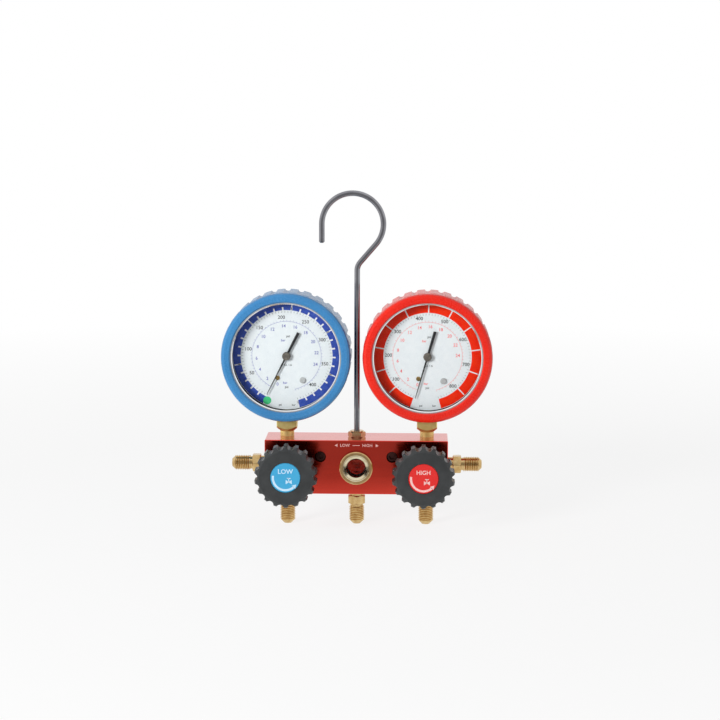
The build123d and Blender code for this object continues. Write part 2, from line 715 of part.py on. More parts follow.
def gauge_boot(name, x):
    """Rubber boot: smooth lip over the bezel, fluted grip, back lip and a slot for the stem."""
    seat = front_seat(x, GAUGE_Z)
    grip_front = BOOT_LIP_FRONT - BOOT_LIP_DEPTH
    with BuildPart() as boot:
        turn(
            seat,
            (BOOT_WINDOW_R, BEZEL_FRONT + 0.1),
            (BOOT_WINDOW_R, BOOT_LIP_FRONT - 0.9),
            (BOOT_WINDOW_R + 0.9, BOOT_LIP_FRONT),
            (BOOT_LIP_R - 2.4, BOOT_LIP_FRONT),
            (BOOT_LIP_R - 0.7, BOOT_LIP_FRONT - 0.8),
            (BOOT_LIP_R, BOOT_LIP_FRONT - 2.4),
            (BOOT_LIP_R, grip_front),
            (BOOT_GRIP_R, grip_front - 0.8),
            (BOOT_GRIP_R, BOOT_BACK + 2.0),
            (BOOT_GRIP_R - 2.0, BOOT_BACK),
            (BOOT_BACK_HOLE_R, BOOT_BACK),
            (BOOT_BACK_HOLE_R, CASE_BACK - 0.1),
            (CASE_R - 2.0, CASE_BACK - 0.1),
            (CASE_R + 0.1, CASE_BACK + 2.0),
            (CASE_R + 0.1, BEZEL_CRIMP - 0.2),
            (BEZEL_R + 0.1, BEZEL_CRIMP - 0.2),
            (BEZEL_R + 0.1, BEZEL_FRONT + 0.1),
        )
        with BuildSketch(seat.offset(BOOT_BACK)) as flutes:
            flute_circle = BOOT_GRIP_R + BOOT_FLUTE_R - BOOT_FLUTE_DEPTH
            with PolarLocations(flute_circle, BOOT_FLUTES, start_angle=180.0 / BOOT_FLUTES):
                Circle(BOOT_FLUTE_R)
        extrude(flutes.sketch.faces(), amount=grip_front + 1.0 - BOOT_BACK, mode=Mode.SUBTRACT)
        slot_front = STEM_Y - WRENCH_SQUARE / 2 - BOOT_SLOT_GAP
        slot_back = 1.0 - BOOT_BACK
        with BuildSketch(Plane.XY.offset(GAUGE_Z - BOOT_GRIP_R - 1.0)) as slot:
            with Locations((x, (slot_front + slot_back) / 2)):
                Rectangle(WRENCH_SQUARE + 2 * BOOT_SLOT_GAP, slot_back - slot_front)
        extrude(slot.sketch.faces(), amount=12.0, mode=Mode.SUBTRACT)
    finish(boot, f"{name}_gauge_boot")


# ---- gauge movement ----

def involute(angle):
    return tan(angle) - angle


class Gear:
    """Involute gear: radii, and the half angle of its tooth at any radius."""

    def __init__(self, teeth, addendum):
        self.pitch_r = MODULE * teeth / 2
        self.base_r = self.pitch_r * cos(PRESSURE_ANGLE)
        self.tip_r = self.pitch_r + addendum * MODULE
        self.root_r = self.pitch_r - 1.25 * MODULE
        self.half = pi / (2 * teeth) - BACKLASH / 2 / self.pitch_r
        self.pitch_angle = 360.0 / teeth

    def flank(self, radius):
        pressure = acos(min(1.0, self.base_r / radius))
        return (self.half + involute(PRESSURE_ANGLE) - involute(pressure)) * 180 / pi

    def tooth(self, middle):
        """Flank and tip edges of the tooth whose middle is at this angle, low flank first."""
        start = max(self.root_r, self.base_r)
        half_way = (start + self.tip_r) / 2
        foot = self.flank(start)
        waist = self.flank(half_way)
        tip = self.flank(self.tip_r)
        low_foot = polar(self.root_r, middle - foot)
        low_start = polar(start, middle - foot)
        if self.base_r > self.root_r:
            Line(low_foot, low_start)
        ThreePointArc(low_start, polar(half_way, middle - waist), polar(self.tip_r, middle - tip))
        Line(polar(self.tip_r, middle - tip), polar(self.tip_r, middle + tip))
        high_start = polar(start, middle + foot)
        ThreePointArc(polar(self.tip_r, middle + tip), polar(half_way, middle + waist), high_start)
        high_foot = polar(self.root_r, middle + foot)
        if self.base_r > self.root_r:
            Line(high_start, high_foot)
        return low_foot, high_foot


PINION = Gear(PINION_TEETH, 0.9)
SECTOR = Gear(SECTOR_TEETH, 0.7)
SECTOR_PIVOT = polar(PINION.pitch_r + SECTOR.pitch_r, SECTOR_BEARING)
SECTOR_TO_PINION = SECTOR_BEARING - 180.0
TAIL_PIN = polar(TAIL_LENGTH, TAIL_ANGLE, SECTOR_PIVOT)
LINK_ANGLE = TAIL_ANGLE + SECTOR_TRAVEL / 2 + 90.0
TIP_PIN = polar(LINK_LENGTH, LINK_ANGLE, TAIL_PIN)


def pinion_arbor(name, x):
    seat = front_seat(x, GAUGE_Z)
    with BuildPart() as arbor:
        rod(seat, ARBOR_R, -BACK_PLATE_Y - 0.8, ARBOR_TOP)
        with BuildSketch(seat.offset(-PINION_Y)) as teeth:
            with BuildLine():
                first_foot = None
                last_foot = None
                for number in range(PINION_TEETH):
                    middle = SECTOR_BEARING + PINION.pitch_angle * (number + 0.5)
                    low_foot, high_foot = PINION.tooth(middle)
                    if last_foot:
                        Line(last_foot, low_foot)
                    first_foot = first_foot or low_foot
                    last_foot = high_foot
                Line(last_foot, first_foot)
            make_face()
        extrude(teeth.sketch.faces(), amount=PINION_LENGTH)
    finish(arbor, f"{name}_pinion_arbor")


def sector_gear(name, x):
    pivot = front_seat(x + SECTOR_PIVOT[0], GAUGE_Z + SECTOR_PIVOT[1])
    plate = pivot.offset(-SECTOR_Y - PLATE)
    spare = 2
    tooth_count = int(SECTOR_TRAVEL / SECTOR.pitch_angle) + 2 * spare + 2
    last = SECTOR_TO_PINION + spare * SECTOR.pitch_angle
    first = last - (tooth_count - 1) * SECTOR.pitch_angle
    margin = 0.5 * SECTOR.pitch_angle
    with BuildPart() as sector:
        with BuildSketch(plate) as web:
            with BuildLine():
                feet = [polar(SECTOR.root_r, first - margin)]
                for number in range(tooth_count):
                    low_foot, high_foot = SECTOR.tooth(first + number * SECTOR.pitch_angle)
                    Line(feet[-1], low_foot)
                    feet.append(high_foot)
                end = polar(SECTOR.root_r, last + margin)
                Line(feet[-1], end)
                low_hub = polar(SECTOR_HUB_R, first - 60.0)
                high_hub = polar(SECTOR_HUB_R, last + 60.0)
                Line(end, high_hub)
                ThreePointArc(high_hub, polar(SECTOR_HUB_R, (first + last) / 2 + 180.0), low_hub)
                Line(low_hub, feet[0])
            make_face()
            # window between the rim and the two spokes
            with BuildLine() as window_line:
                rim_r = SECTOR.root_r - 1.8
                inner_r = 5.5
                inset = 6.0
                start = polar(inner_r, first + 3 * inset)
                low_rim = polar(rim_r, first + inset)
                high_rim = polar(rim_r, last - inset)
                stop = polar(inner_r, last - 3 * inset)
                Line(start, low_rim)
                ThreePointArc(low_rim, polar(rim_r, (first + last) / 2), high_rim)
                Line(high_rim, stop)
                ThreePointArc(stop, polar(inner_r, (first + last) / 2), start)
            make_face(window_line.edges(), mode=Mode.SUBTRACT)
            # tail with the link's hole
            with Locations(polar(TAIL_LENGTH, TAIL_ANGLE)):
                Circle(1.5)
            with BuildLine() as tail_line:
                Polyline(
                    polar(1.9, TAIL_ANGLE + 90),
                    polar(1.9, TAIL_ANGLE - 90),
                    polar(1.2, TAIL_ANGLE - 90, polar(TAIL_LENGTH, TAIL_ANGLE)),
                    polar(1.2, TAIL_ANGLE + 90, polar(TAIL_LENGTH, TAIL_ANGLE)),
                    close=True,
                )
            make_face(tail_line.edges())
            with Locations(polar(TAIL_LENGTH, TAIL_ANGLE)):
                Circle(LINK_PIN_R + BEARING_GAP, mode=Mode.SUBTRACT)
        extrude(web.sketch.faces(), amount=PLATE)
        rod(pivot, SECTOR_HUB_R, -SECTOR_Y - PLATE - 0.6, -SECTOR_Y + 0.6)
        rod(pivot, ARBOR_R, -BACK_PLATE_Y - 0.8, -FRONT_PLATE_Y - 0.2)
    finish(sector, f"{name}_sector_gear")


def link(name, x):
    """Strap in front of the sector's tail, riveted to it, with its far eye on the tube tip's pin."""
    tail = front_seat(x + TAIL_PIN[0], GAUGE_Z + TAIL_PIN[1])
    far_eye = polar(LINK_LENGTH, LINK_ANGLE)
    with BuildPart() as strap:
        with BuildSketch(tail.offset(-LINK_Y - LINK_THICKNESS)) as plan:
            with Locations((0, 0), far_eye):
                Circle(1.6)
            with Locations(polar(LINK_LENGTH / 2, LINK_ANGLE)):
                Rectangle(LINK_LENGTH, 1.8, rotation=LINK_ANGLE)
            with Locations(far_eye):
                Circle(LINK_EYE_R, mode=Mode.SUBTRACT)
        extrude(plan.sketch.faces(), amount=LINK_THICKNESS)
        rod(tail, LINK_PIN_R, -SECTOR_Y - PLATE - 0.5, -LINK_Y - 0.4)
    finish(strap, f"{name}_link")


def tube_section(x, angle, radial, width, hollow=0.0):
    """Obround section of the tube where it crosses the gauge's radius at an angle."""
    outwards = Vector(cos(radians(angle)), 0, sin(radians(angle)))
    seat = Plane(origin=(x, 0, GAUGE_Z), x_dir=outwards, z_dir=(0, -1, 0))
    with BuildSketch(lengthwise(seat)) as section:
        with Locations((TUBE_R, -TUBE_Y)):
            SlotOverall(width, radial, rotation=90)
            if hollow:
                SlotOverall(width - 2 * hollow, radial - 2 * hollow, rotation=90, mode=Mode.SUBTRACT)
    return section.sketch.faces()


def bourdon_tube(name, x):
    axis = Axis((x, 0, GAUGE_Z), (0, -1, 0))
    span = TUBE_ROOT_ANGLE - TUBE_TIP_ANGLE
    with BuildPart() as tube_part:
        section = tube_section(x, TUBE_TIP_ANGLE, TUBE_THICKNESS, TUBE_WIDTH, TUBE_WALL)
        revolve(section, axis=axis, revolution_arc=span)
    finish(tube_part, f"{name}_bourdon_tube")

    # end cap, its lug and the link's pin
    pin = front_seat(x + TIP_PIN[0], GAUGE_Z + TIP_PIN[1])
    with BuildPart() as tip:
        cap = tube_section(x, TUBE_TIP_ANGLE - 4.0, TUBE_THICKNESS + 1.6, TUBE_WIDTH + 1.6)
        revolve(cap, axis=axis, revolution_arc=7.0)
        pocket = tube_section(x, TUBE_TIP_ANGLE, TUBE_THICKNESS, TUBE_WIDTH)
        revolve(pocket, axis=axis, revolution_arc=4.0, mode=Mode.SUBTRACT)
        root = polar(TUBE_R - 2.0, TUBE_TIP_ANGLE - 3.0)
        with BuildSketch(front_seat(x, GAUGE_Z, -SECTOR_Y - PLATE)) as lug:
            with BuildLine() as spine:
                Line(TIP_PIN, root)
            SlotArc(spine.edges()[0], 3.0)
        extrude(lug.sketch.faces(), amount=PLATE)
        rod(pin, 0.5, -SECTOR_Y - PLATE, -LINK_Y + 0.3)
    finish(tip, f"{name}_tube_tip")


def movement_frame(name, x):
    """Two plates with a pillar and a foot between them, the dial's posts and the hairspring's stud."""
    pinion = (0.0, 0.0)
    pillar = polar(7.0, SECTOR_TO_PINION)
    bearings = [pinion, SECTOR_PIVOT]
    corners = [pillar, (-4.5, -23.0), (4.5, -23.0)]
    with BuildPart() as frame:
        front = front_seat(x, GAUGE_Z, -FRONT_PLATE_Y - PLATE)
        with BuildSketch(front) as front_plan:
            with Locations(*corners, *bearings, *SCREW_POSTS):
                Circle(PLATE_CORNER_R)
            make_hull()
        extrude(front_plan.sketch.faces(), amount=PLATE)
        back = front_seat(x, GAUGE_Z, -BACK_PLATE_Y - PLATE)
        with BuildSketch(back) as back_plan:
            with Locations(*corners, *bearings):
                Circle(PLATE_CORNER_R)
            make_hull()
        extrude(back_plan.sketch.faces(), amount=PLATE)
        pillar_seat = front_seat(x + pillar[0], GAUGE_Z + pillar[1])
        rod(pillar_seat, 1.2, -BACK_PLATE_Y, -FRONT_PLATE_Y - PLATE)
        foot_depth = BACK_PLATE_Y + PLATE - FRONT_PLATE_Y
        foot_middle = (FOOT_TOP + FOOT_BOTTOM) / 2
        with Locations((x, FRONT_PLATE_Y + foot_depth / 2, GAUGE_Z + foot_middle)):
            Box(FOOT_WIDTH, foot_depth, FOOT_TOP - FOOT_BOTTOM)
        for place in SCREW_POSTS:
            post = front_seat(x + place[0], GAUGE_Z + place[1])
            rod(post, 1.5, -FRONT_PLATE_Y, DIAL_FRONT - DIAL_THICKNESS)
            rod(post, DIAL_SCREW_R, DIAL_SCREW_END, DIAL_FRONT, mode=Mode.SUBTRACT)
        stud_place = polar(HAIRSPRING_OUTER_R + 0.35, HAIRSPRING_END)
        stud = front_seat(x + stud_place[0], GAUGE_Z + stud_place[1])
        rod(stud, 0.35, -BACK_PLATE_Y, -HAIRSPRING_Y)
        for place in bearings:
            bearing = front_seat(x + place[0], GAUGE_Z + place[1])
            rod(bearing, ARBOR_R + BEARING_GAP, -BACK_PLATE_Y - PLATE, -FRONT_PLATE_Y, mode=Mode.SUBTRACT)
    finish(frame, f"{name}_movement_frame")


def hairspring(name, x):
    """Flat spiral of quarter-turn arcs, each a little larger than the one before."""
    half_strip = HAIRSPRING_STRIP / 2
    steps = HAIRSPRING_TURNS * 4
    growth = (HAIRSPRING_OUTER_R - HAIRSPRING_INNER_R) / steps
    start_angle = HAIRSPRING_END - HAIRSPRING_TURNS * 360.0
    with BuildPart() as spring:
        with BuildSketch(front_seat(x, GAUGE_Z, -HAIRSPRING_Y - HAIRSPRING_WIDTH)) as plan:
            with BuildLine():
                for edge in (-half_strip, half_strip):
                    for step in range(steps):
                        points = []
                        for turned in (step, step + 0.5, step + 1):
                            radius = HAIRSPRING_INNER_R + growth * turned + edge
                            points.append(polar(radius, start_angle + 90.0 * turned))
                        ThreePointArc(*points)
                ends = [(HAIRSPRING_INNER_R, start_angle), (HAIRSPRING_OUTER_R, HAIRSPRING_END)]
                for radius, angle in ends:
                    Line(polar(radius - half_strip, angle), polar(radius + half_strip, angle))
            make_face()
        extrude(plan.sketch.faces(), amount=HAIRSPRING_WIDTH)
    finish(spring, f"{name}_hairspring")


def pointer(name, x):
    """Needle at its rest: a thin tapered tip, a broad tail and a hub pressed on the arbor."""
    seat = front_seat(x, GAUGE_Z)
    tip_angle = -90.0 - NEEDLE_REST[name]
    side_angle = tip_angle + 90.0
    tip = polar(NEEDLE_TIP, tip_angle)
    shoulder = polar(NEEDLE_SHOULDER, tip_angle)
    tail = polar(-NEEDLE_TAIL, tip_angle)
    with BuildPart() as needle:
        with BuildSketch(seat.offset(NEEDLE_HEIGHT)) as plan:
            with BuildLine():
                Polyline(
                    polar(0.15, side_angle, tip),
                    polar(0.45, side_angle, shoulder),
                    polar(0.8, side_angle),
                    polar(1.05, side_angle, tail),
                    polar(-1.05, side_angle, tail),
                    polar(-0.8, side_angle),
                    polar(-0.45, side_angle, shoulder),
                    polar(-0.15, side_angle, tip),
                    close=True,
                )
            make_face()
        extrude(plan.sketch.faces(), amount=NEEDLE_THICKNESS)
        turn(
            seat,
            (0, NEEDLE_HUB_BOTTOM),
            (NEEDLE_HUB_R - 0.8, NEEDLE_HUB_BOTTOM),
            (NEEDLE_HUB_R, NEEDLE_HEIGHT - 0.2),
            (NEEDLE_HUB_R, NEEDLE_HUB_TOP - 0.6),
            (NEEDLE_HUB_R - 0.6, NEEDLE_HUB_TOP),
            (0, NEEDLE_HUB_TOP),
        )
        rod(seat, ARBOR_R, NEEDLE_HUB_BOTTOM, ARBOR_TOP, mode=Mode.SUBTRACT)
    finish(needle, f"{name}_pointer")


def gauge_socket(name, x):
    """Brass socket: threaded stem, turned-down wrench square, neck and the block inside the case."""
    axis_seat = Plane(origin=(x, STEM_Y, 0), x_dir=(1, 0, 0), z_dir=(0, 0, 1))
    square_bottom = BLOCK_TOP + 3.6
    square_top = GAUGE_Z - CASE_R - 0.4
    corner_r = WRENCH_SQUARE / 2 * 1.36
    inner_bottom = GAUGE_Z - CASE_R + 2.0
    inner_top = GAUGE_Z - SOCKET_BLOCK_TOP
    with BuildPart() as socket:
        with BuildSketch(axis_seat.offset(square_bottom)):
            Rectangle(WRENCH_SQUARE, WRENCH_SQUARE)
        extrude(amount=square_top - square_bottom)
        turn(
            axis_seat,
            (0, square_bottom),
            (STEM_R, square_bottom),
            (corner_r, square_bottom + (corner_r - STEM_R) * 0.8),
            (corner_r, square_top - 0.8),
            (corner_r - 1.4, square_top),
            (0, square_top),
            mode=Mode.INTERSECT,
        )
        turn(
            axis_seat,
            (0, BLOCK_TOP - STEM_DEPTH),
            (STEM_THREAD - 0.6, BLOCK_TOP - STEM_DEPTH),
            (STEM_THREAD, BLOCK_TOP - STEM_DEPTH + 0.6),
            (STEM_THREAD, BLOCK_TOP),
            (STEM_R, BLOCK_TOP),
            (STEM_R, square_bottom),
            (0, square_bottom),
        )
        rod(axis_seat, STEM_THREAD, square_top, inner_bottom)
        with BuildSketch(Plane.XY.offset(inner_bottom)):
            with Locations((x, SOCKET_BLOCK_Y)):
                Rectangle(14.0, 10.0)
        extrude(amount=inner_top - inner_bottom)
        # boss that the case is screwed to
        boss_front = 10.0
        boss_back = -CASE_BACK - 1.2
        with Locations((x, (boss_front + boss_back) / 2, GAUGE_Z - SOCKET_SCREW_DROP)):
            Box(11.0, boss_back - boss_front, 4.6)
        # slot for the tube's root, and the gas way up to it
        root = tube_section(x, TUBE_ROOT_ANGLE - 30.0, TUBE_THICKNESS, TUBE_WIDTH)
        revolve(root, axis=Axis((x, 0, GAUGE_Z), (0, -1, 0)), revolution_arc=30.0, mode=Mode.SUBTRACT)
        rod(axis_seat, STEM_BORE_R, BLOCK_TOP - STEM_DEPTH, GAUGE_Z - TUBE_R, mode=Mode.SUBTRACT)
        for offset in SOCKET_SCREW_OFFSETS:
            screw = front_seat(x + offset, GAUGE_Z - SOCKET_SCREW_DROP)
            rod(screw, SOCKET_SCREW_R, CASE_BACK, SOCKET_SCREW_END, mode=Mode.SUBTRACT)
    finish(socket, f"{name}_gauge_socket")

    with BuildPart() as screws:
        for offset in SOCKET_SCREW_OFFSETS:
            seat = front_seat(x + offset, GAUGE_Z - SOCKET_SCREW_DROP)
            rod(seat, SOCKET_SCREW_R, CASE_BACK, SOCKET_SCREW_END)
            turn(seat, *COUNTERSINK)
    finish(screws, f"{name}_socket_screws")


# ---- build ----

def build():
    os.makedirs("parts", exist_ok=True)
    manifold_block()
    fittings()
    sight_glass()
    hook()
    for name, side in SIDES.items():
        x = side * GAUGE_PITCH / 2
        valve(name, side)
        handwheel(name, side)
        gauge_shells(name, x)
        gauge_boot(name, x)
        gauge_socket(name, x)
        movement_frame(name, x)
        pinion_arbor(name, x)
        sector_gear(name, x)
        link(name, x)
        hairspring(name, x)
        bourdon_tube(name, x)
        pointer(name, x)


build()
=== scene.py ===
# %% [markdown]
# # A two-valve manifold gauge set
#
# A red anodised bar carries two dial gauges in rubber boots, two lobed handwheels, a sight glass,
# five brass flare fittings and a chrome hook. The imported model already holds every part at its
# real size, so this lesson is about finish: metal that reflects a white studio, rubber, printed
# dials, and the cut threads that the solids leave out.

from math import cos, pi, radians, sin

import bpy
from mathutils import Matrix, Vector


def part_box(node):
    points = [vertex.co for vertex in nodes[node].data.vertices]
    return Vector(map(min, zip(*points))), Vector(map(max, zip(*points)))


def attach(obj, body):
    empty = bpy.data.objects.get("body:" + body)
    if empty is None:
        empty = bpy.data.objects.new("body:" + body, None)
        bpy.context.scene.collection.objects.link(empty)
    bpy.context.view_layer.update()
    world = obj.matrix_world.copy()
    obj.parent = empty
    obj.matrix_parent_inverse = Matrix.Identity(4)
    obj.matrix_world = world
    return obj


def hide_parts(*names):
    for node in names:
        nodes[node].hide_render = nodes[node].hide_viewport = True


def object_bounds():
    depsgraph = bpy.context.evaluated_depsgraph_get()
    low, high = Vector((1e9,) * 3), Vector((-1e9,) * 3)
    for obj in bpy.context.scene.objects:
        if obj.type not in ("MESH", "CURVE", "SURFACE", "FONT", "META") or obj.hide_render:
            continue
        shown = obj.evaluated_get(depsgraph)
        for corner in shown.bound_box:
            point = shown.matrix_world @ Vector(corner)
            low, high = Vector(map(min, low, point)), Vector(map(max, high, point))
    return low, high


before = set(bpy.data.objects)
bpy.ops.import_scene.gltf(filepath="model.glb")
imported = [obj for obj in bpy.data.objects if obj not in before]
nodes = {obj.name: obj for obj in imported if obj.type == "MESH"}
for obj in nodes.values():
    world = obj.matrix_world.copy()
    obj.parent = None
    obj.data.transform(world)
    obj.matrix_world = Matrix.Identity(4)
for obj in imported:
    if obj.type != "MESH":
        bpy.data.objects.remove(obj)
cad_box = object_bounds()
print("nodes", len(nodes), "box", [round(v, 4) for corner in cad_box for v in corner])

# %% [markdown]
# Everything is in metres. Drawings of such a gauge are in millimetres, so a short name for a
# millimetre keeps the numbers below readable. Colours are written the way a paint chart gives
# them, from 0 to 255, and turned into the linear values that a renderer works with.

# %% Units, colours and a clean selection
MM = 0.001
SIDES = ("low", "high")


def paint(red, green, blue):
    """Linear colour of a chart colour given from 0 to 255."""
    channels = []
    for value in (red / 255, green / 255, blue / 255):
        channels.append(value / 12.92 if value <= 0.04045 else ((value + 0.055) / 1.055) ** 2.4)
    return (*channels, 1.0)


def both(*parts):
    """Names of these parts on the low and on the high side."""
    return [f"{side}_{part}" for side in SIDES for part in parts]


def clear_selection():
    if bpy.context.object and bpy.context.object.mode != "OBJECT":
        bpy.ops.object.mode_set(mode="OBJECT")
    bpy.ops.object.select_all(action="DESELECT")


def pick(*pieces):
    """Select only these pieces, the first of them active."""
    clear_selection()
    for piece in pieces:
        piece.select_set(True)
    bpy.context.view_layer.objects.active = pieces[0]


def settle(piece, name):
    """Name a piece and bake its place, turn and size into its mesh."""
    pick(piece)
    bpy.ops.object.transform_apply(location=True, rotation=True, scale=True)
    piece.name = name
    piece.data.name = name
    return piece


# %% [markdown]
# ## Studio
#
# The set is shown on white. A world of even white light renders each colour about as it is
# written, and polished metal needs that white to reflect. It could be a box of lamps as well, but
# a world is simpler and lights every side alike.

# %% World
WORLD_FILL = 0.45

world = bpy.data.worlds.new("studio")
bpy.context.scene.world = world
world.use_nodes = True
sky = world.node_tree
background = sky.nodes["Background"]
background.inputs["Color"].default_value = (1, 1, 1, 1)
path = sky.nodes.new("ShaderNodeLightPath")
seen = sky.nodes.new("ShaderNodeMath")
seen.operation = "MAXIMUM"
sky.links.new(path.outputs["Is Camera Ray"], seen.inputs[0])
sky.links.new(path.outputs["Is Transmission Ray"], seen.inputs[1])
strength = sky.nodes.new("ShaderNodeMapRange")
strength.inputs["To Min"].default_value = WORLD_FILL
strength.inputs["To Max"].default_value = 1.0
sky.links.new(seen.outputs[0], strength.inputs["Value"])
print("world fill", WORLD_FILL)

# %% [markdown]
# A polished part needs something dark to reflect as well, or it looks like grey paint. In a real
# studio that is the opening of the light tent, where the camera looks in. Only reflections see it.

# %% Opening of the light tent
TENT_OPENING = 0.42
TENT_DIRECTION = (0.03, -1.0, 0.0)
TENT_EDGE = (52, 28)  # degrees from its middle, where it begins and where it is darkest


def tent_brightness(tree, direction):
    """White all round, and darker towards the opening."""
    unit = tree.nodes.new("ShaderNodeVectorMath")
    unit.operation = "NORMALIZE"
    tree.links.new(direction, unit.inputs[0])
    facing = tree.nodes.new("ShaderNodeVectorMath")
    facing.operation = "DOT_PRODUCT"
    facing.inputs[1].default_value = TENT_DIRECTION
    tree.links.new(unit.outputs["Vector"], facing.inputs[0])
    tent = tree.nodes.new("ShaderNodeMapRange")
    tent.inputs["From Min"].default_value = cos(radians(TENT_EDGE[0]))
    tent.inputs["From Max"].default_value = cos(radians(TENT_EDGE[1]))
    tent.inputs["To Min"].default_value = 1.0
    tent.inputs["To Max"].default_value = TENT_OPENING
    tree.links.new(facing.outputs["Value"], tent.inputs["Value"])
    return tent.outputs["Result"]


def choose(tree, factor, chosen, otherwise=None):
    """The chosen number where the factor is 1, and elsewhere the other one, or 1."""
    mix = tree.nodes.new("ShaderNodeMix")
    mix.inputs["A"].default_value = 1.0
    tree.links.new(factor, mix.inputs["Factor"])
    tree.links.new(chosen, mix.inputs["B"])
    if otherwise:
        tree.links.new(otherwise, mix.inputs["A"])
    return mix.outputs["Result"]


outlook = sky.nodes.new("ShaderNodeTexCoord")
tent = tent_brightness(sky, outlook.outputs["Generated"])
sky.links.new(choose(sky, path.outputs["Is Glossy Ray"], tent, strength.outputs["Result"]),
              background.inputs["Strength"])

# %% [markdown]
# One large lamp from the left adds the soft shadow that the boot's lip throws on the dial. It is
# kept out of reflections, so it leaves no hard white spot on the metal.

# %% Key lamp
KEY_PLACE = Vector((-1.05, -1.3, 0.55))
KEY_SIZE = 0.5
KEY_POWER = 21.0
AIM = Vector((0.0, 0.0, 0.1))

bpy.ops.object.light_add(type="AREA", location=KEY_PLACE)
key = bpy.context.object
key.name = "key_lamp"
key.rotation_euler = (AIM - KEY_PLACE).to_track_quat("-Z", "Y").to_euler()
key.data.size = KEY_SIZE
key.data.energy = KEY_POWER
key.visible_glossy = False
bpy.context.scene.view_settings.view_transform = "Standard"
print("key lamp", KEY_POWER, "W,", round((AIM - KEY_PLACE).length, 2), "m away")

# %% [markdown]
# The camera stands 1.3 m in front and a little higher than the hook, so the bar's top shows as a
# thin pale strip. It is described by where it stands and by how far it is tilted and panned.

# %% Camera
CAMERA_PLACE = Vector((0.04236, -1.33973, 0.30928))
CAMERA_TILT = 0.1424098
CAMERA_PAN = 0.0300147
CAMERA_ROLL = 0.0022794
CAMERA_LENS = 94.42
SENSOR_WIDTH = 36

bpy.ops.object.camera_add()
camera = bpy.context.object
camera.name = "camera"
aim = Matrix.Rotation(CAMERA_PAN, 4, "Z") @ Matrix.Rotation(pi / 2 - CAMERA_TILT, 4, "X")
roll = Matrix.Rotation(CAMERA_ROLL, 4, "Z")
camera.matrix_world = Matrix.Translation(CAMERA_PLACE) @ aim @ roll
camera.data.lens = CAMERA_LENS
camera.data.sensor_width = SENSOR_WIDTH
bpy.context.scene.camera = camera
print("camera lens", CAMERA_LENS, "mm")

# %% [markdown]
# ## Finishes
#
# Every finish starts from the same few helpers: a fresh material with its shader, a cloud of
# noise in the object's own coordinates, and a colour, a number or a bump made from such a cloud.
# What makes one finish differ from the next is how rough it is, what it reflects and how its
# colour wanders.

# %% Material helpers
CLOUD_LOW, CLOUD_HIGH = 0.3, 0.7


def blank_finish(name, roughness, metallic=0.0):
    material = bpy.data.materials.new(name)
    material.use_nodes = True
    shader = material.node_tree.nodes["Principled BSDF"]
    shader.inputs["Roughness"].default_value = roughness
    shader.inputs["Metallic"].default_value = metallic
    return material, material.node_tree, shader


def cloud(tree, size, stretch=(1, 1, 1), detail=3.0):
    """Noise whose blotches are about this size in metres, stretched along an axis if wanted."""
    place = tree.nodes.new("ShaderNodeTexCoord")
    mapping = tree.nodes.new("ShaderNodeMapping")
    mapping.inputs["Scale"].default_value = stretch
    noise = tree.nodes.new("ShaderNodeTexNoise")
    noise.inputs["Scale"].default_value = 1 / size
    noise.inputs["Detail"].default_value = detail
    tree.links.new(place.outputs["Object"], mapping.inputs["Vector"])
    tree.links.new(mapping.outputs["Vector"], noise.inputs["Vector"])
    return noise.outputs["Fac"]


def blend_colours(tree, factor, dark, light):
    """The cloud as a colour between two shades."""
    ramp = tree.nodes.new("ShaderNodeValToRGB")
    ramp.color_ramp.elements[0].position = CLOUD_LOW
    ramp.color_ramp.elements[0].color = dark
    ramp.color_ramp.elements[1].position = CLOUD_HIGH
    ramp.color_ramp.elements[1].color = light
    tree.links.new(factor, ramp.inputs["Fac"])
    return ramp.outputs["Color"]


def spread(tree, factor, low, high):
    """The cloud as a number between two limits."""
    limits = tree.nodes.new("ShaderNodeMapRange")
    limits.inputs["From Min"].default_value = CLOUD_LOW
    limits.inputs["From Max"].default_value = CLOUD_HIGH
    limits.inputs["To Min"].default_value = low
    limits.inputs["To Max"].default_value = high
    tree.links.new(factor, limits.inputs["Value"])
    return limits.outputs["Result"]


def roughen(tree, shader, factor, depth, strength):
    """Bump of this depth in metres."""
    bump = tree.nodes.new("ShaderNodeBump")
    bump.inputs["Strength"].default_value = strength
    bump.inputs["Distance"].default_value = depth
    tree.links.new(factor, bump.inputs["Height"])
    tree.links.new(bump.outputs["Normal"], shader.inputs["Normal"])


def give(material, *names):
    """Put a material in the slots of these CAD nodes."""
    for name in names:
        for slot in nodes[name].material_slots:
            slot.material = material


# %% [markdown]
# **Anodised bar.** The dye sits in a clear oxide over milled aluminium, so the bar is a tinted
# metal: deep red face on, almost white along its top, where it is seen at a glancing angle. The
# mill leaves faint lines along the bar.

# %% Red anodised aluminium
def anodised_red():
    material, tree, shader = blank_finish("anodised_red", 0.16, metallic=1.0)
    shader.inputs["Coat Weight"].default_value = 0.45
    shader.inputs["Coat Roughness"].default_value = 0.1
    tint = blend_colours(tree, cloud(tree, 0.03), paint(202, 50, 31), paint(214, 58, 39))
    tree.links.new(tint, shader.inputs["Base Color"])
    mill = cloud(tree, 0.0012, stretch=(0.04, 1, 1), detail=2)
    tree.links.new(spread(tree, mill, 0.13, 0.22), shader.inputs["Roughness"])
    roughen(tree, shader, mill, 0.00002, 0.25)
    return material


give(anodised_red(), "manifold_block")
print("bar finished in", nodes["manifold_block"].material_slots[0].material.name)

# %% [markdown]
# **Brass.** Fittings are turned from bar and left bare. Fine marks from the tool, a slightly
# uneven tarnish and a low roughness give the strong light and dark of real brass.

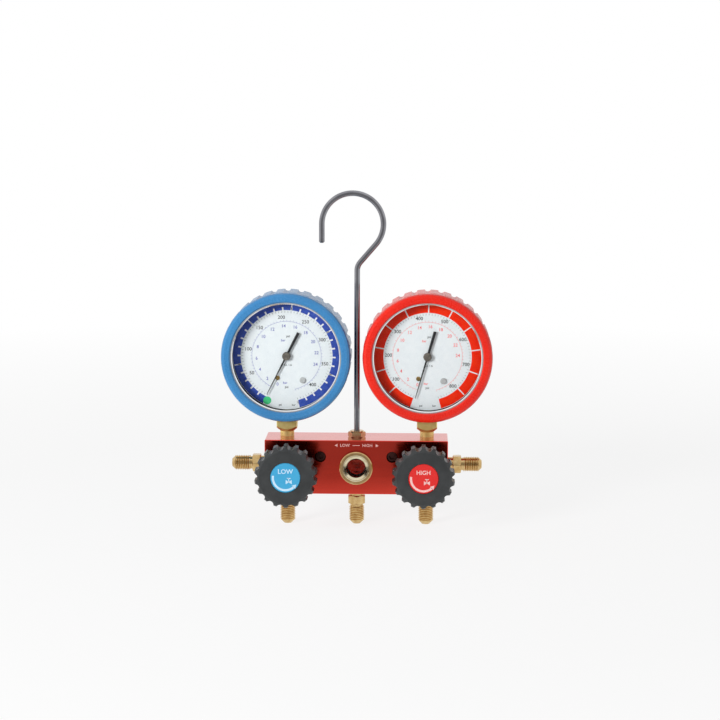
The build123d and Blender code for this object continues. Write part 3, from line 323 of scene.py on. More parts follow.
# %% Turned brass
def turned_brass(name, dark, light, roughness, metallic=1.0):
    material, tree, shader = blank_finish(name, roughness, metallic)
    tarnish = blend_colours(tree, cloud(tree, 0.004), dark, light)
    tree.links.new(tarnish, shader.inputs["Base Color"])
    smears = cloud(tree, 0.0015)
    polish = spread(tree, smears, roughness * 0.8, roughness * 1.3)
    tree.links.new(polish, shader.inputs["Roughness"])
    roughen(tree, shader, cloud(tree, 0.0004, detail=2), 0.00002, 0.3)
    return material


bright_brass = turned_brass("bright_brass", paint(186, 152, 98), paint(216, 188, 136), 0.17)
dull_brass = turned_brass("dull_brass", paint(190, 154, 112), paint(216, 184, 140), 0.2)
pale_brass = turned_brass("pale_brass", paint(236, 214, 130), paint(248, 230, 156), 0.42,
                          metallic=0.75)
stamped_brass = turned_brass("stamped_brass", paint(170, 140, 82), paint(200, 172, 110), 0.35)
give(bright_brass, *both("bonnet"))
give(pale_brass, *both("gauge_socket"))
give(dull_brass, "hook_nut")
give(stamped_brass, *both("movement_frame", "sector_gear", "link", "tube_tip", "dial_screws"))
print("brass kinds", [m.name for m in (bright_brass, dull_brass, pale_brass, stamped_brass)])

# %% [markdown]
# **Steel and chrome.** The hook is plated wire, the bezel a plated pressing. Both are near
# mirrors; the wire is a shade darker, so it stands out from the white behind it. The cap screws
# beside the handwheels are blackened, and the gauge cases are dark enamelled steel.

# %% Plated and plain steel
def plated(name, dark, light, roughness):
    material, tree, shader = blank_finish(name, roughness, metallic=1.0)
    tone = blend_colours(tree, cloud(tree, 0.012), dark, light)
    tree.links.new(tone, shader.inputs["Base Color"])
    haze = cloud(tree, 0.002)
    polish = spread(tree, haze, roughness * 0.7, roughness * 1.4)
    tree.links.new(polish, shader.inputs["Roughness"])
    return material


hook_chrome = plated("hook_chrome", paint(124, 124, 129), paint(154, 154, 159), 0.08)
bezel_chrome = plated("bezel_chrome", paint(228, 230, 233), paint(246, 247, 248), 0.18)
black_oxide = plated("black_oxide", paint(62, 40, 38), paint(96, 60, 56), 0.25)
ground_steel = plated("ground_steel", paint(140, 142, 146), paint(172, 174, 178), 0.3)
case_black = plated("case_black", paint(40, 40, 42), paint(50, 50, 53), 0.35)
give(hook_chrome, "hook_rod")
give(bezel_chrome, *both("gauge_bezel"))
give(black_oxide, "plug_screws")
give(ground_steel, *both("valve_stem", "pinion_arbor", "knob_screw", "socket_screws"))
give(case_black, *both("gauge_case"))
print("cases in black for", both("gauge_case"))

# %% [markdown]
# **Rubber boots.** Moulded rubber is a plain strong colour with a soft sheen: face on it shows
# its dye, and along the top edge it reflects the studio and turns pale. A fine grain keeps the
# sheen from looking like paint.

# %% Moulded rubber
def moulded_rubber(name, dark, light):
    material, tree, shader = blank_finish(name, 0.3)
    shader.inputs["Specular IOR Level"].default_value = 0.45
    shader.inputs["Sheen Weight"].default_value = 0.06
    shader.inputs["Sheen Roughness"].default_value = 0.4
    dye = blend_colours(tree, cloud(tree, 0.02), dark, light)
    tree.links.new(dye, shader.inputs["Base Color"])
    grain = cloud(tree, 0.0006, detail=4)
    tree.links.new(spread(tree, grain, 0.2, 0.33), shader.inputs["Roughness"])
    roughen(tree, shader, grain, 0.00006, 0.35)
    return material


give(moulded_rubber("rubber_blue", paint(54, 126, 182), paint(64, 136, 192)), "low_gauge_boot")
give(moulded_rubber("rubber_red", paint(228, 28, 6), paint(238, 36, 11)), "high_gauge_boot")
print("boots in rubber:", both("gauge_boot"))

# %% [markdown]
# **Handwheels.** Charcoal plastic straight from the mould, with a leathery grain that hands have
# begun to polish. The badge in the middle is a glossy printed disc.

# %% Moulded plastic
def charcoal_plastic():
    material, tree, shader = blank_finish("charcoal_plastic", 0.42)
    tone = blend_colours(tree, cloud(tree, 0.01), paint(43, 45, 46), paint(57, 59, 60))
    tree.links.new(tone, shader.inputs["Base Color"])
    grain = cloud(tree, 0.0007, detail=4)
    tree.links.new(spread(tree, grain, 0.34, 0.5), shader.inputs["Roughness"])
    roughen(tree, shader, grain, 0.00008, 0.4)
    return material


def badge_plastic(name, dark, light):
    material, tree, shader = blank_finish(name, 0.22)
    tone = blend_colours(tree, cloud(tree, 0.015), dark, light)
    tree.links.new(tone, shader.inputs["Base Color"])
    roughen(tree, shader, cloud(tree, 0.002), 0.00002, 0.2)
    return material


give(charcoal_plastic(), *both("knob"))
give(badge_plastic("badge_blue", paint(58, 160, 206), paint(68, 168, 214)), "low_knob_badge")
give(badge_plastic("badge_red", paint(218, 36, 34), paint(226, 44, 41)), "high_knob_badge")
print("handwheels and badges in plastic:", both("knob", "knob_badge"))

# %% [markdown]
# **Small inner parts.** Seals are matt black rubber, the seat disc is white nylon, and the tubes
# and hairsprings are bronze. They are hidden in the closed set, and show when it is taken apart.

# %% Seals, seats and springs
def matt_solid(name, dark, light, roughness, gloss=0.5):
    material, tree, shader = blank_finish(name, roughness)
    shader.inputs["Specular IOR Level"].default_value = gloss
    tone = blend_colours(tree, cloud(tree, 0.003), dark, light)
    tree.links.new(tone, shader.inputs["Base Color"])
    roughen(tree, shader, cloud(tree, 0.0005), 0.00003, 0.3)
    return material


seal_rubber = matt_solid("seal_rubber", paint(22, 22, 23), paint(34, 34, 35), 0.6)
seat_nylon = matt_solid("seat_nylon", paint(222, 222, 214), paint(234, 234, 228), 0.5)
spring_bronze = turned_brass("spring_bronze", paint(160, 104, 62), paint(188, 130, 82), 0.3)
give(seal_rubber, "sight_gasket", *both("lens_gasket", "stem_seal"))
give(seat_nylon, *both("seat_disc"))
give(spring_bronze, *both("bourdon_tube", "hairspring"))
print("tubes and springs in bronze:", both("bourdon_tube", "hairspring"))

# %% [markdown]
# **Pointers.** The needle is matt black, and its hub is a pressed cap of duller, browner metal.
# Both are one solid, so the finish changes with the distance from the pointer's axis.

# %% Pointer with a pressed hub
HUB_RADIUS = 2.9 * MM
HUB_BLEND = 1.06
# A Mix node repeats its sockets for each kind of value. These are the ones for colours.
COLOUR_A, COLOUR_B, COLOUR_RESULT = 6, 7, 2


def pointer_finish(side):
    material, tree, shader = blank_finish(f"{side}_pointer_black", 0.4)
    low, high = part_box(f"{side}_gauge_dial")
    place = tree.nodes.new("ShaderNodeTexCoord")
    centred = tree.nodes.new("ShaderNodeMapping")
    centred.inputs["Location"].default_value = (-(low.x + high.x) / 2, 0, -(low.z + high.z) / 2)
    centred.inputs["Scale"].default_value = (1, 0, 1)
    distance = tree.nodes.new("ShaderNodeVectorMath")
    distance.operation = "LENGTH"
    hub = tree.nodes.new("ShaderNodeMapRange")
    hub.inputs["From Min"].default_value = HUB_RADIUS
    hub.inputs["From Max"].default_value = HUB_RADIUS * HUB_BLEND
    tree.links.new(place.outputs["Object"], centred.inputs["Vector"])
    tree.links.new(centred.outputs["Vector"], distance.inputs[0])
    tree.links.new(distance.outputs["Value"], hub.inputs["Value"])
    patina = blend_colours(tree, cloud(tree, 0.002), paint(84, 80, 72), paint(116, 110, 100))
    black = blend_colours(tree, cloud(tree, 0.003), paint(24, 25, 27), paint(38, 39, 42))
    mix = tree.nodes.new("ShaderNodeMix")
    mix.data_type = "RGBA"
    tree.links.new(hub.outputs["Result"], mix.inputs["Factor"])
    tree.links.new(patina, mix.inputs[COLOUR_A])
    tree.links.new(black, mix.inputs[COLOUR_B])
    tree.links.new(mix.outputs[COLOUR_RESULT], shader.inputs["Base Color"])
    roughen(tree, shader, cloud(tree, 0.0005), 0.00002, 0.3)
    return material


for side in SIDES:
    give(pointer_finish(side), f"{side}_pointer")
print("pointer hubs", HUB_RADIUS / MM, "mm in radius")

# %% [markdown]
# **Clear parts.** The lens is a thin clear disc and the sight glass a thick one. Both pass light
# straight on, with only a faint reflection, so the dial behind stays crisp and evenly lit.

# %% Lens and sight glass
GLASS_FACE_ON = 0.006
GLASS_EDGE_ON = 0.6
GLASS_RISE = 5.0


def clear_window(name, tint, roughness):
    """Clear sheet: straight-through light mixed with a glossy layer by the angle of view."""
    material = bpy.data.materials.new(name)
    material.use_nodes = True
    tree = material.node_tree
    tree.nodes.remove(tree.nodes["Principled BSDF"])
    clear = tree.nodes.new("ShaderNodeBsdfTransparent")
    clear.inputs["Color"].default_value = tint
    gloss = tree.nodes.new("ShaderNodeBsdfGlossy")
    smears = cloud(tree, 0.006)
    polish = spread(tree, smears, roughness * 0.6, roughness * 1.6)
    tree.links.new(polish, gloss.inputs["Roughness"])
    roughen(tree, gloss, smears, 0.00001, 0.2)
    angle = tree.nodes.new("ShaderNodeLayerWeight")
    steep = tree.nodes.new("ShaderNodeMath")
    steep.operation = "POWER"
    steep.inputs[1].default_value = GLASS_RISE
    share = tree.nodes.new("ShaderNodeMapRange")
    share.inputs["To Min"].default_value = GLASS_FACE_ON
    share.inputs["To Max"].default_value = GLASS_EDGE_ON
    mix = tree.nodes.new("ShaderNodeMixShader")
    tree.links.new(angle.outputs["Facing"], steep.inputs[0])
    tree.links.new(steep.outputs["Value"], share.inputs["Value"])
    tree.links.new(share.outputs["Result"], mix.inputs["Fac"])
    tree.links.new(clear.outputs["BSDF"], mix.inputs[1])
    tree.links.new(gloss.outputs["BSDF"], mix.inputs[2])
    tree.links.new(mix.outputs["Shader"], tree.nodes["Material Output"].inputs["Surface"])
    return material


give(clear_window("lens_clear", (1, 1, 1, 1), 0.05), *both("gauge_lens"))
give(clear_window("sight_clear", (0.93, 0.96, 0.93, 1), 0.05), "sight_glass")
sight_brass = turned_brass("sight_brass", paint(184, 148, 98), paint(210, 178, 130), 0.16)
trim_brass = turned_brass("trim_brass", paint(204, 192, 158), paint(226, 216, 186), 0.2)
give(sight_brass, "sight_ring")
print("glass reflects", GLASS_FACE_ON, "face on and", GLASS_EDGE_ON, "edge on")

# %% [markdown]
# **Dial plates and inks.** The dial is a white lacquered plate, off white with a slightly cool
# cast. Printing ink is flat and hardly reflects, so even the dark figures stay dark in the light.

# %% Dial lacquer and printing inks
def lacquer_white():
    return matt_solid("lacquer_white", paint(229, 237, 240), paint(235, 242, 244), 0.55)


def ink(name, colour, fainter):
    return matt_solid(name, colour, fainter, 0.5, gloss=0.15)


give(lacquer_white(), *both("gauge_dial"))
INK_BLACK = ink("ink_black", paint(40, 42, 42), paint(64, 66, 66))
INK_WHITE = ink("ink_white", paint(236, 238, 240), paint(246, 247, 248))
INK_PINK = ink("ink_pink", paint(222, 170, 164), paint(236, 192, 186))
INK_GREEN = ink("ink_green", paint(62, 196, 124), paint(78, 208, 138))
INKS = {
    "low": {"band": ink("ink_blue_band", paint(50, 74, 166), paint(64, 92, 184)),
            "figure": ink("ink_blue_figure", paint(96, 100, 176), paint(116, 120, 190))},
    "high": {"band": ink("ink_red_band", paint(246, 34, 0), paint(252, 50, 4)),
             "figure": ink("ink_red_figure", paint(236, 92, 92), paint(244, 120, 118))},
}
print("inks", sum(m.name.startswith("ink_") for m in bpy.data.materials))

# %% [markdown]
# ## Printing the dials
#
# Ink is a film lying on the plate, less than a tenth of a millimetre thick here. It could be a
# painted pattern in the plate's material, but a mesh keeps its sharp edges at any distance.
# Angles are counted clockwise from straight down, which is how such a scale runs.

# %% Where the dial is, and how thick the ink is
FILM = 0.04 * MM  # half of the film's thickness
CLOCKWISE = Vector((0, -1, 0))


def dial_centre(side):
    """Middle of the dial's front face."""
    low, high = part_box(f"{side}_gauge_dial")
    return Vector(((low.x + high.x) / 2, low.y, (low.z + high.z) / 2))


def on_dial(centre, radius, angle):
    return centre + Vector((-radius * sin(radians(angle)), 0, -radius * cos(radians(angle))))


for side in SIDES:
    print(side, "dial centre", [round(v, 4) for v in dial_centre(side)])

# %% [markdown]
# **Bands and rings.** A short radial edge is spun round the dial's axis, which sweeps a flat
# ribbon, and the ribbon gets its thickness from a Solidify modifier.

# %% A ribbon of ink
RIBBON_STEP = 3
RIBBON_LEAST = 8


def flat_strip(centre, inner, outer, angle):
    """Two vertices on one radius, joined by an edge, as the start of a ribbon."""
    bpy.ops.mesh.primitive_plane_add(size=1, location=(0, 0, 0))
    strip = bpy.context.object
    bpy.ops.object.mode_set(mode="EDIT")
    bpy.ops.mesh.select_all(action="SELECT")
    bpy.ops.mesh.merge(type="CENTER")
    bpy.ops.transform.translate(value=on_dial(centre, inner, angle))
    step = on_dial(centre, outer, angle) - on_dial(centre, inner, angle)
    bpy.ops.mesh.extrude_vertices_move(TRANSFORM_OT_translate={"value": step})
    bpy.ops.mesh.select_all(action="SELECT")
    return strip


def ink_film(strip, name, material, body):
    """Give a flat print its thickness, ink and body."""
    bpy.ops.object.mode_set(mode="OBJECT")
    pick(strip)
    film = strip.modifiers.new("film", "SOLIDIFY")
    film.thickness = 2 * FILM
    film.offset = 0
    bpy.ops.object.modifier_apply(modifier="film")
    settle(strip, name)
    strip.data.materials.append(material)
    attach(strip, body)
    return strip


def ribbon(name, centre, inner, outer, start, end, material, body):
    strip = flat_strip(centre, inner, outer, start)
    steps = max(RIBBON_LEAST, int(abs(end - start) / RIBBON_STEP))
    bpy.ops.mesh.spin(steps=steps, angle=radians(end - start), center=centre, axis=CLOCKWISE)
    return ink_film(strip, name, material, body)


# %% [markdown]
# **Ticks.** One tick is a small plane. It is duplicated and turned about the dial's axis in edit
# mode, so a whole scale is one piece.

# %% A scale of ticks
def turn_selected(angle, centre):
    """Turn what is selected clockwise about the dial's axis."""
    bpy.ops.transform.rotate(value=-radians(angle), orient_axis="Y", orient_type="GLOBAL",
                             center_override=centre)


def ticks(name, centre, inner, outer, width, angles, material, body):
    bpy.ops.mesh.primitive_plane_add(size=1, location=(0, 0, 0), rotation=(pi / 2, 0, 0))
    scale = bpy.context.object
    length = outer - inner
    scale.scale = (width, length, 1)
    scale.location = centre + Vector((0, 0, -(inner + length / 2)))
    bpy.ops.object.transform_apply(location=True, rotation=True, scale=True)
    bpy.ops.object.mode_set(mode="EDIT")
    bpy.ops.mesh.select_all(action="SELECT")
    turn_selected(angles[0], centre)
    for before, angle in zip(angles, angles[1:]):
        bpy.ops.mesh.duplicate()
        turn_selected(angle - before, centre)
    return ink_film(scale, name, material, body)


# %% [markdown]
# **Figures.** Numbers and units are text objects. They are made a mesh first, and then turned to
# face the front and put in place.

# %% Figures
def figures(name, marks, material, body, weight=0.012):
    """One printed piece from marks, which are (text, place, height)."""
    made = []
    for words, place, height in marks:
        bpy.ops.object.text_add(location=(0, 0, 0))
        text = bpy.context.object
        text.data.body = words
        text.data.size = height
        text.data.align_x = "CENTER"
        text.data.align_y = "CENTER"
        text.data.extrude = FILM
        text.data.offset = weight * height
        text.data.resolution_u = 3
        pick(text)
        bpy.ops.object.convert(target="MESH")
        text = bpy.context.object
        text.rotation_euler = (pi / 2, 0, 0)
        text.location = place
        made.append(text)
    pick(*made)
    if len(made) > 1:
        bpy.ops.object.join()
    printed = settle(bpy.context.object, name)
    printed.data.materials.append(material)
    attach(printed, body)
    return printed


# %% [markdown]
# The low side dial has a blue band whose inner edge is cut by short white ticks, and seven longer
# ones cross the whole band. The high side band is red, with a white tick every 27 degrees. Both
# have black outer figures, and coloured inner figures on a second scale. Lengths are in mm and
# angles in degrees.

# %% The two scales
SCALES = {
    "low": {
        "band": (26.0, 346.0), "band_in": 33.0,
        "full_ticks": [26.0 + 53.4 * n for n in range(7)],
        "edge_ticks": [26.0 + 10.68 * n for n in range(31)],
        "black_start": 27.0, "black_step": 36.4, "black_figures": range(50, 401, 50),
        "inner_step": 22.4,
    },
    "high": {
        "band": (18.5, 345.0), "band_in": 31.6,
        "full_ticks": [46.0 + 27.0 * n for n in range(11)],
        "edge_ticks": [],
        "black_start": 16.0, "black_step": 37.9, "black_figures": range(100, 801, 100),
        "inner_step": 20.7,
    },
}
BAND_OUT = 38.6
FULL_TICK_SHORT, FULL_TICK_WIDTH = 0.6, 0.8
EDGE_TICK_LENGTH, EDGE_TICK_WIDTH = 2.2, 1.1
FINE_GAP, FINE_LENGTH, FINE_WIDTH, FINE_PARTS = 0.5, 1.4, 0.18, 80
INNER_RING = (24.8, 24.98)
INNER_TICKS, INNER_WIDTH, INNER_PARTS = (24.9, 25.9), 0.16, 60
BLACK_RADIUS, BLACK_HEIGHT = 28.0, 3.5
INNER_RADIUS, INNER_HEIGHT = 21.6, 3.2
INNER_START = 40.0
INNER_FIGURES = range(2, 25, 2)
UNIT_HEIGHT = 2.4

# %% [markdown]
# Small words stand at a place across and up from the pointer's axis: the units of both scales,
# and the accuracy class under the pointer.

# %% Words on the dials
BLACK_WORDS = (("psi", 0, -22.6, UNIT_HEIGHT), ("CL 1.6", 0.9, -6.6, 2.1),
               ("psi", 1.2, 14.2, UNIT_HEIGHT), ("psi", -4.6, -35.6, 2.0), ("bar", 5.0, -35.6, 2.0))
UPPER_BAR = ("bar", -2.4, 11.2, UNIT_HEIGHT)
LOWER_BAR_RADIUS, LOWER_BAR_ANGLE = 19.6, 3


def word_mark(centre, word, across, up, height):
    return word, centre + Vector((across * MM, 0, up * MM)), height * MM


def even_angles(start, end, parts):
    return [start + (end - start) * n / parts for n in range(parts + 1)]


# %% Band and ticks of one dial
def print_scale(side):
    centre = dial_centre(side)
    scale = SCALES[side]
    colours = INKS[side]
    start, end = scale["band"]
    band_in = scale["band_in"] * MM
    above = centre + Vector((0, -1.5 * FILM, 0))
    ribbon(f"{side}_dial_band", centre, band_in, BAND_OUT * MM, start, end,
           colours["band"], "manifold")
    ticks(f"{side}_band_ticks", above, band_in, (BAND_OUT - FULL_TICK_SHORT) * MM,
          FULL_TICK_WIDTH * MM, scale["full_ticks"], INK_WHITE, "manifold")
    if scale["edge_ticks"]:
        ticks(f"{side}_edge_ticks", above, band_in, band_in + EDGE_TICK_LENGTH * MM,
              EDGE_TICK_WIDTH * MM, scale["edge_ticks"], INK_WHITE, "manifold")
    fine_out = band_in - FINE_GAP * MM
    ticks(f"{side}_fine_ticks", centre, fine_out - FINE_LENGTH * MM, fine_out, FINE_WIDTH * MM,
          even_angles(start, end, FINE_PARTS), INK_BLACK, "manifold")
    ribbon(f"{side}_inner_ring", centre, INNER_RING[0] * MM, INNER_RING[1] * MM, start, end,
           colours["figure"], "manifold")
    ticks(f"{side}_inner_ticks", centre, INNER_TICKS[0] * MM, INNER_TICKS[1] * MM,
          INNER_WIDTH * MM, even_angles(start, end, INNER_PARTS), colours["figure"], "manifold")


# %% Figures of one dial
def print_figures(side):
    centre = dial_centre(side)
    scale = SCALES[side]
    marks = []
    for number, value in enumerate(scale["black_figures"], start=1):
        angle = scale["black_start"] + scale["black_step"] * number
        marks.append((str(value), on_dial(centre, BLACK_RADIUS * MM, angle), BLACK_HEIGHT * MM))
    marks += [word_mark(centre, *word) for word in BLACK_WORDS]
    figures(f"{side}_black_figures", marks, INK_BLACK, "manifold")
    marks = []
    for number, value in enumerate(INNER_FIGURES):
        place = on_dial(centre, INNER_RADIUS * MM, INNER_START + scale["inner_step"] * number)
        marks.append((str(value), place, INNER_HEIGHT * MM))
    lower = on_dial(centre, LOWER_BAR_RADIUS * MM, LOWER_BAR_ANGLE)
    marks.append(("bar", lower, UNIT_HEIGHT * MM))
    marks.append(word_mark(centre, *UPPER_BAR))
    zero = on_dial(centre, INNER_RADIUS * MM, INNER_START - scale["inner_step"])
    marks.append(("0", zero, INNER_HEIGHT * MM))
    figures(f"{side}_pale_figures", marks, INKS[side]["figure"], "manifold")


for side in SIDES:
    print_scale(side)
    print_figures(side)
    print(side, "dial printed, band", SCALES[side]["band"], "degrees")

# %% [markdown]
# The low side scale starts at a green spot, where the pointer rests. It is a filled circle with
# the same film of ink.

# %% Green zero spot
GREEN_ANGLE = 23.4
GREEN_RADIUS = 35.3
GREEN_SIZE = 2.9

bpy.ops.mesh.primitive_circle_add(vertices=40, radius=GREEN_SIZE * MM, fill_type="NGON",
                                  rotation=(pi / 2, 0, 0))
spot = bpy.context.object
spot.location = on_dial(dial_centre("low"), GREEN_RADIUS * MM, GREEN_ANGLE)
spot.location.y -= 2.5 * FILM
ink_film(spot, "low_zero_spot", INK_GREEN, "manifold")
print("zero spot", 2 * GREEN_SIZE, "mm across at", GREEN_ANGLE, "degrees")

# %% [markdown]
# **Needle blades.** Each needle is a pressed blade with a fine end that reaches the scale. The
# blade starts as a thin bar, its far end is squeezed to a point in edit mode, and its edges are
# bevelled as a press leaves them. It turns with the needle that carries it.

# %% Needle blades
NEEDLE_REST = {"low": 27.0, "high": 16.0}
BLADE_START, BLADE_END = 6.0, 31.2
BLADE_WIDE, BLADE_FINE, BLADE_DEPTH = 1.2, 0.45, 0.52
BLADE_BEHIND_HUB = 1.6
BLADE_EDGE = 0.08

needle_black = matt_solid("needle_black", paint(24, 25, 27), paint(38, 39, 42), 0.4)
for side, rest in NEEDLE_REST.items():
    clear_selection()
    middle = -(BLADE_START + BLADE_END) / 2 * MM
    bpy.ops.mesh.primitive_cube_add(size=1, location=(0, 0, middle))
    blade = bpy.context.object
    blade.scale = (BLADE_WIDE * MM, BLADE_DEPTH * MM, (BLADE_END - BLADE_START) * MM)
    bpy.ops.object.transform_apply(location=True, rotation=True, scale=True)
    bpy.ops.object.mode_set(mode="EDIT")
    bpy.ops.mesh.select_mode(type="VERT")
    bpy.ops.mesh.select_all(action="DESELECT")
    bpy.ops.object.mode_set(mode="OBJECT")
    for vertex in blade.data.vertices:
        vertex.select = vertex.co.z < middle
    bpy.ops.object.mode_set(mode="EDIT")
    bpy.ops.transform.resize(value=(BLADE_FINE / BLADE_WIDE, 1, 1),
                             center_override=(0, 0, -BLADE_END * MM))
    bpy.ops.mesh.select_all(action="SELECT")
    bpy.ops.mesh.bevel(offset=BLADE_EDGE * MM, segments=2)
    bpy.ops.object.mode_set(mode="OBJECT")
    hub_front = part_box(f"{side}_pointer")[0].y
    axis = dial_centre(side)
    blade.rotation_euler = (0, radians(rest), 0)
    blade.location = (axis.x, hub_front + BLADE_BEHIND_HUB * MM, axis.z)
    settle(blade, f"{side}_needle_blade")
    blade.data.materials.append(needle_black)
    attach(blade, f"{side}_needle")
    print(side, "blade reaches", BLADE_END, "mm at", rest, "degrees")

# %% [markdown]
# The right dial screw wears a small grey cap. It is moulded plastic, so a disc whose edges a
# Bevel modifier rounds is close to the real shape.

# %% Caps on the right dial screws
CAP_PLACE = (11.5, -17.5)
CAP_RADIUS = 2.2
CAP_HEIGHT = 1.1
CAP_ROUNDING = 0.4
SMOOTH_BELOW = radians(30)

cap_grey = matt_solid("cap_grey", paint(168, 172, 172), paint(190, 194, 194), 0.45)
for side in SIDES:
    centre = dial_centre(side)
    seat = centre + Vector((CAP_PLACE[0] * MM, -CAP_HEIGHT / 2 * MM, CAP_PLACE[1] * MM))
    clear_selection()
    bpy.ops.mesh.primitive_cylinder_add(vertices=48, radius=CAP_RADIUS * MM, depth=CAP_HEIGHT * MM,
                                        location=seat, rotation=(pi / 2, 0, 0))
    cap = bpy.context.object
    bpy.ops.object.transform_apply(location=True, rotation=True, scale=True)
    rounding = cap.modifiers.new("rounding", "BEVEL")
    rounding.width = CAP_ROUNDING * MM
    rounding.segments = 3
    bpy.ops.object.modifier_apply(modifier="rounding")
    bpy.ops.object.shade_smooth_by_angle(angle=SMOOTH_BELOW)
    settle(cap, f"{side}_dial_cap")
    cap.data.materials.append(cap_grey)
    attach(cap, "manifold")
print("dial caps", CAP_RADIUS, "mm in radius")

# %% [markdown]
# ## Flare fittings
#
# Five identical brass fittings take the hoses. One is modelled along +Z, standing on the bar's
# face, and then copied to each seat. It is a turned body, a hexagon whose corners are chamfered
# on the lathe, and a helical thread ridge, 20 turns to the inch.

# %% A turned body
TURNED_SIDES = 56
WELD = 0.01 * MM


def turned(outline):
    """Closed round shape along +Z from (radius, height) in mm; the outline ends where it began."""
    radius, height = outline[0]
    bpy.ops.mesh.primitive_circle_add(vertices=TURNED_SIDES, radius=radius * MM,
                                      location=(0, 0, height * MM))
    piece = bpy.context.object
    bpy.ops.object.transform_apply(location=True, rotation=True, scale=True)
    bpy.ops.object.mode_set(mode="EDIT")
    bpy.ops.mesh.select_all(action="SELECT")
    for next_radius, next_height in outline[1:]:
        step = (0, 0, (next_height - height) * MM)
        bpy.ops.mesh.extrude_edges_move(TRANSFORM_OT_translate={"value": step})
        grow = next_radius / radius
        bpy.ops.transform.resize(value=(grow, grow, 1),
                                 center_override=(0, 0, next_height * MM))
        radius, height = next_radius, next_height
    bpy.ops.mesh.select_all(action="SELECT")
    bpy.ops.mesh.remove_doubles(threshold=WELD)
    bpy.ops.mesh.normals_make_consistent(inside=False)
    bpy.ops.object.mode_set(mode="OBJECT")
    return piece


# %% [markdown]
# The hexagon's corners are chamfered on the lathe. A prism and a turned barrel do the same here:
# a Boolean keeps what both share, which gives the curved chamfer that a bevel can't.

# %% A hexagon with turned corners
HEX_CHAMFER = 0.6
HEX_CORE = 0.05
HEX_EDGE = 0.12
HEX_EDGE_ANGLE = radians(25)


def hexagon(across_flats, bottom, top):
    """A hexagonal prism, cut to the space that it shares with a chamfered barrel."""
    flat = across_flats / 2
    corner = flat / cos(pi / 6)
    barrel = turned([
        (HEX_CORE, bottom), (flat, bottom), (corner, bottom + HEX_CHAMFER),
        (corner, top - HEX_CHAMFER), (flat, top), (HEX_CORE, top), (HEX_CORE, bottom),
    ])
    bpy.ops.mesh.primitive_cylinder_add(vertices=6, radius=corner * MM,
                                        depth=(top - bottom) * MM,
                                        location=(0, 0, (top + bottom) / 2 * MM))
    prism = bpy.context.object
    bpy.ops.object.transform_apply(location=True, rotation=True, scale=True)
    cut = prism.modifiers.new("corners", "BOOLEAN")
    cut.operation = "INTERSECT"
    cut.solver = "EXACT"
    cut.object = barrel
    pick(prism)
    bpy.ops.object.modifier_apply(modifier="corners")
    bpy.data.objects.remove(barrel)
    soften = prism.modifiers.new("soft_edges", "BEVEL")
    soften.width = HEX_EDGE * MM
    soften.segments = 2
    soften.limit_method = "ANGLE"
    soften.angle_limit = HEX_EDGE_ANGLE
    bpy.ops.object.modifier_apply(modifier="soft_edges")
    return prism


# %% [markdown]
# The thread is a triangle with its point outwards, carried round the axis and along it by a Screw
# modifier. Its root sits just inside the turned body, so both read as one piece of metal.

# %% Thread ridge
THREAD_PITCH = 25.4 / 20
THREAD_ROOT = 4.86
THREAD_CREST = 5.54
RIDGE_RADIUS = THREAD_PITCH * 0.56
THREAD_STEPS = 48


def thread_ridge(start, length):
    bpy.ops.mesh.primitive_circle_add(vertices=3, radius=RIDGE_RADIUS * MM,
                                      rotation=(pi / 2, pi / 2, 0))
    ridge = bpy.context.object
    ridge.location = ((THREAD_CREST - RIDGE_RADIUS) * MM, 0, (start + THREAD_PITCH / 2) * MM)
    bpy.ops.object.transform_apply(location=True, rotation=True, scale=True)
    helix = ridge.modifiers.new("helix", "SCREW")
    helix.axis = "Z"
    helix.screw_offset = THREAD_PITCH * MM
    helix.iterations = int(length / THREAD_PITCH)
    helix.steps = THREAD_STEPS
    helix.render_steps = THREAD_STEPS
    helix.use_merge_vertices = False
    pick(ridge)
    bpy.ops.object.modifier_apply(modifier="helix")
    bpy.ops.object.mode_set(mode="EDIT")
    bpy.ops.mesh.select_all(action="SELECT")
    bpy.ops.mesh.fill_holes(sides=0)
    bpy.ops.mesh.select_all(action="SELECT")
    bpy.ops.mesh.normals_make_consistent(inside=False)
    bpy.ops.object.mode_set(mode="OBJECT")
    return ridge


# %% [markdown]
# The real fitting is one piece. Here body, hexagon and thread are closed shapes that overlap:
# they look the same, keep crisp edges, and need no slow union of a long helix.

# %% One fitting
NECK, HEX_TOP, THREAD_START, CONE_START, TIP = 3.7, 9.7, 11.2, 22.3, 24.5
BORE, TIP_RADIUS, CONE_RADIUS, RELIEF_RADIUS, SHANK_RADIUS = 2.4, 2.9, 4.9, 4.6, 5.0
HEX_ACROSS = 12.0
THREAD_EDGE, THREAD_RUNOUT = 0.1, 0.5
RELIEF_END, SHANK_END = HEX_TOP - 0.3, HEX_TOP - 0.5


def flare_fitting():
    body = turned([
        (BORE, TIP), (TIP_RADIUS, TIP), (CONE_RADIUS, CONE_START + THREAD_EDGE),
        (THREAD_ROOT, CONE_START - THREAD_RUNOUT), (THREAD_ROOT, THREAD_START),
        (RELIEF_RADIUS, THREAD_START - THREAD_EDGE), (RELIEF_RADIUS, RELIEF_END),
        (SHANK_RADIUS, SHANK_END), (SHANK_RADIUS, 0.0), (BORE, 0.0), (BORE, TIP),
    ])
    nut = hexagon(HEX_ACROSS, NECK, HEX_TOP)
    ridge = thread_ridge(THREAD_START, CONE_START - THREAD_START)
    pick(body, nut, ridge)
    bpy.ops.object.join()
    fitting = settle(bpy.context.object, "flare_pattern")
    bpy.ops.object.shade_smooth_by_angle(angle=SMOOTH_BELOW)
    return fitting


pattern = flare_fitting()
print("fitting faces", len(pattern.data.polygons))

# %% [markdown]
# The three hose ports hang from the underside and the two parking fittings stand out of the
# ends. A seat is a place on the bar's face and the direction that the fitting points.

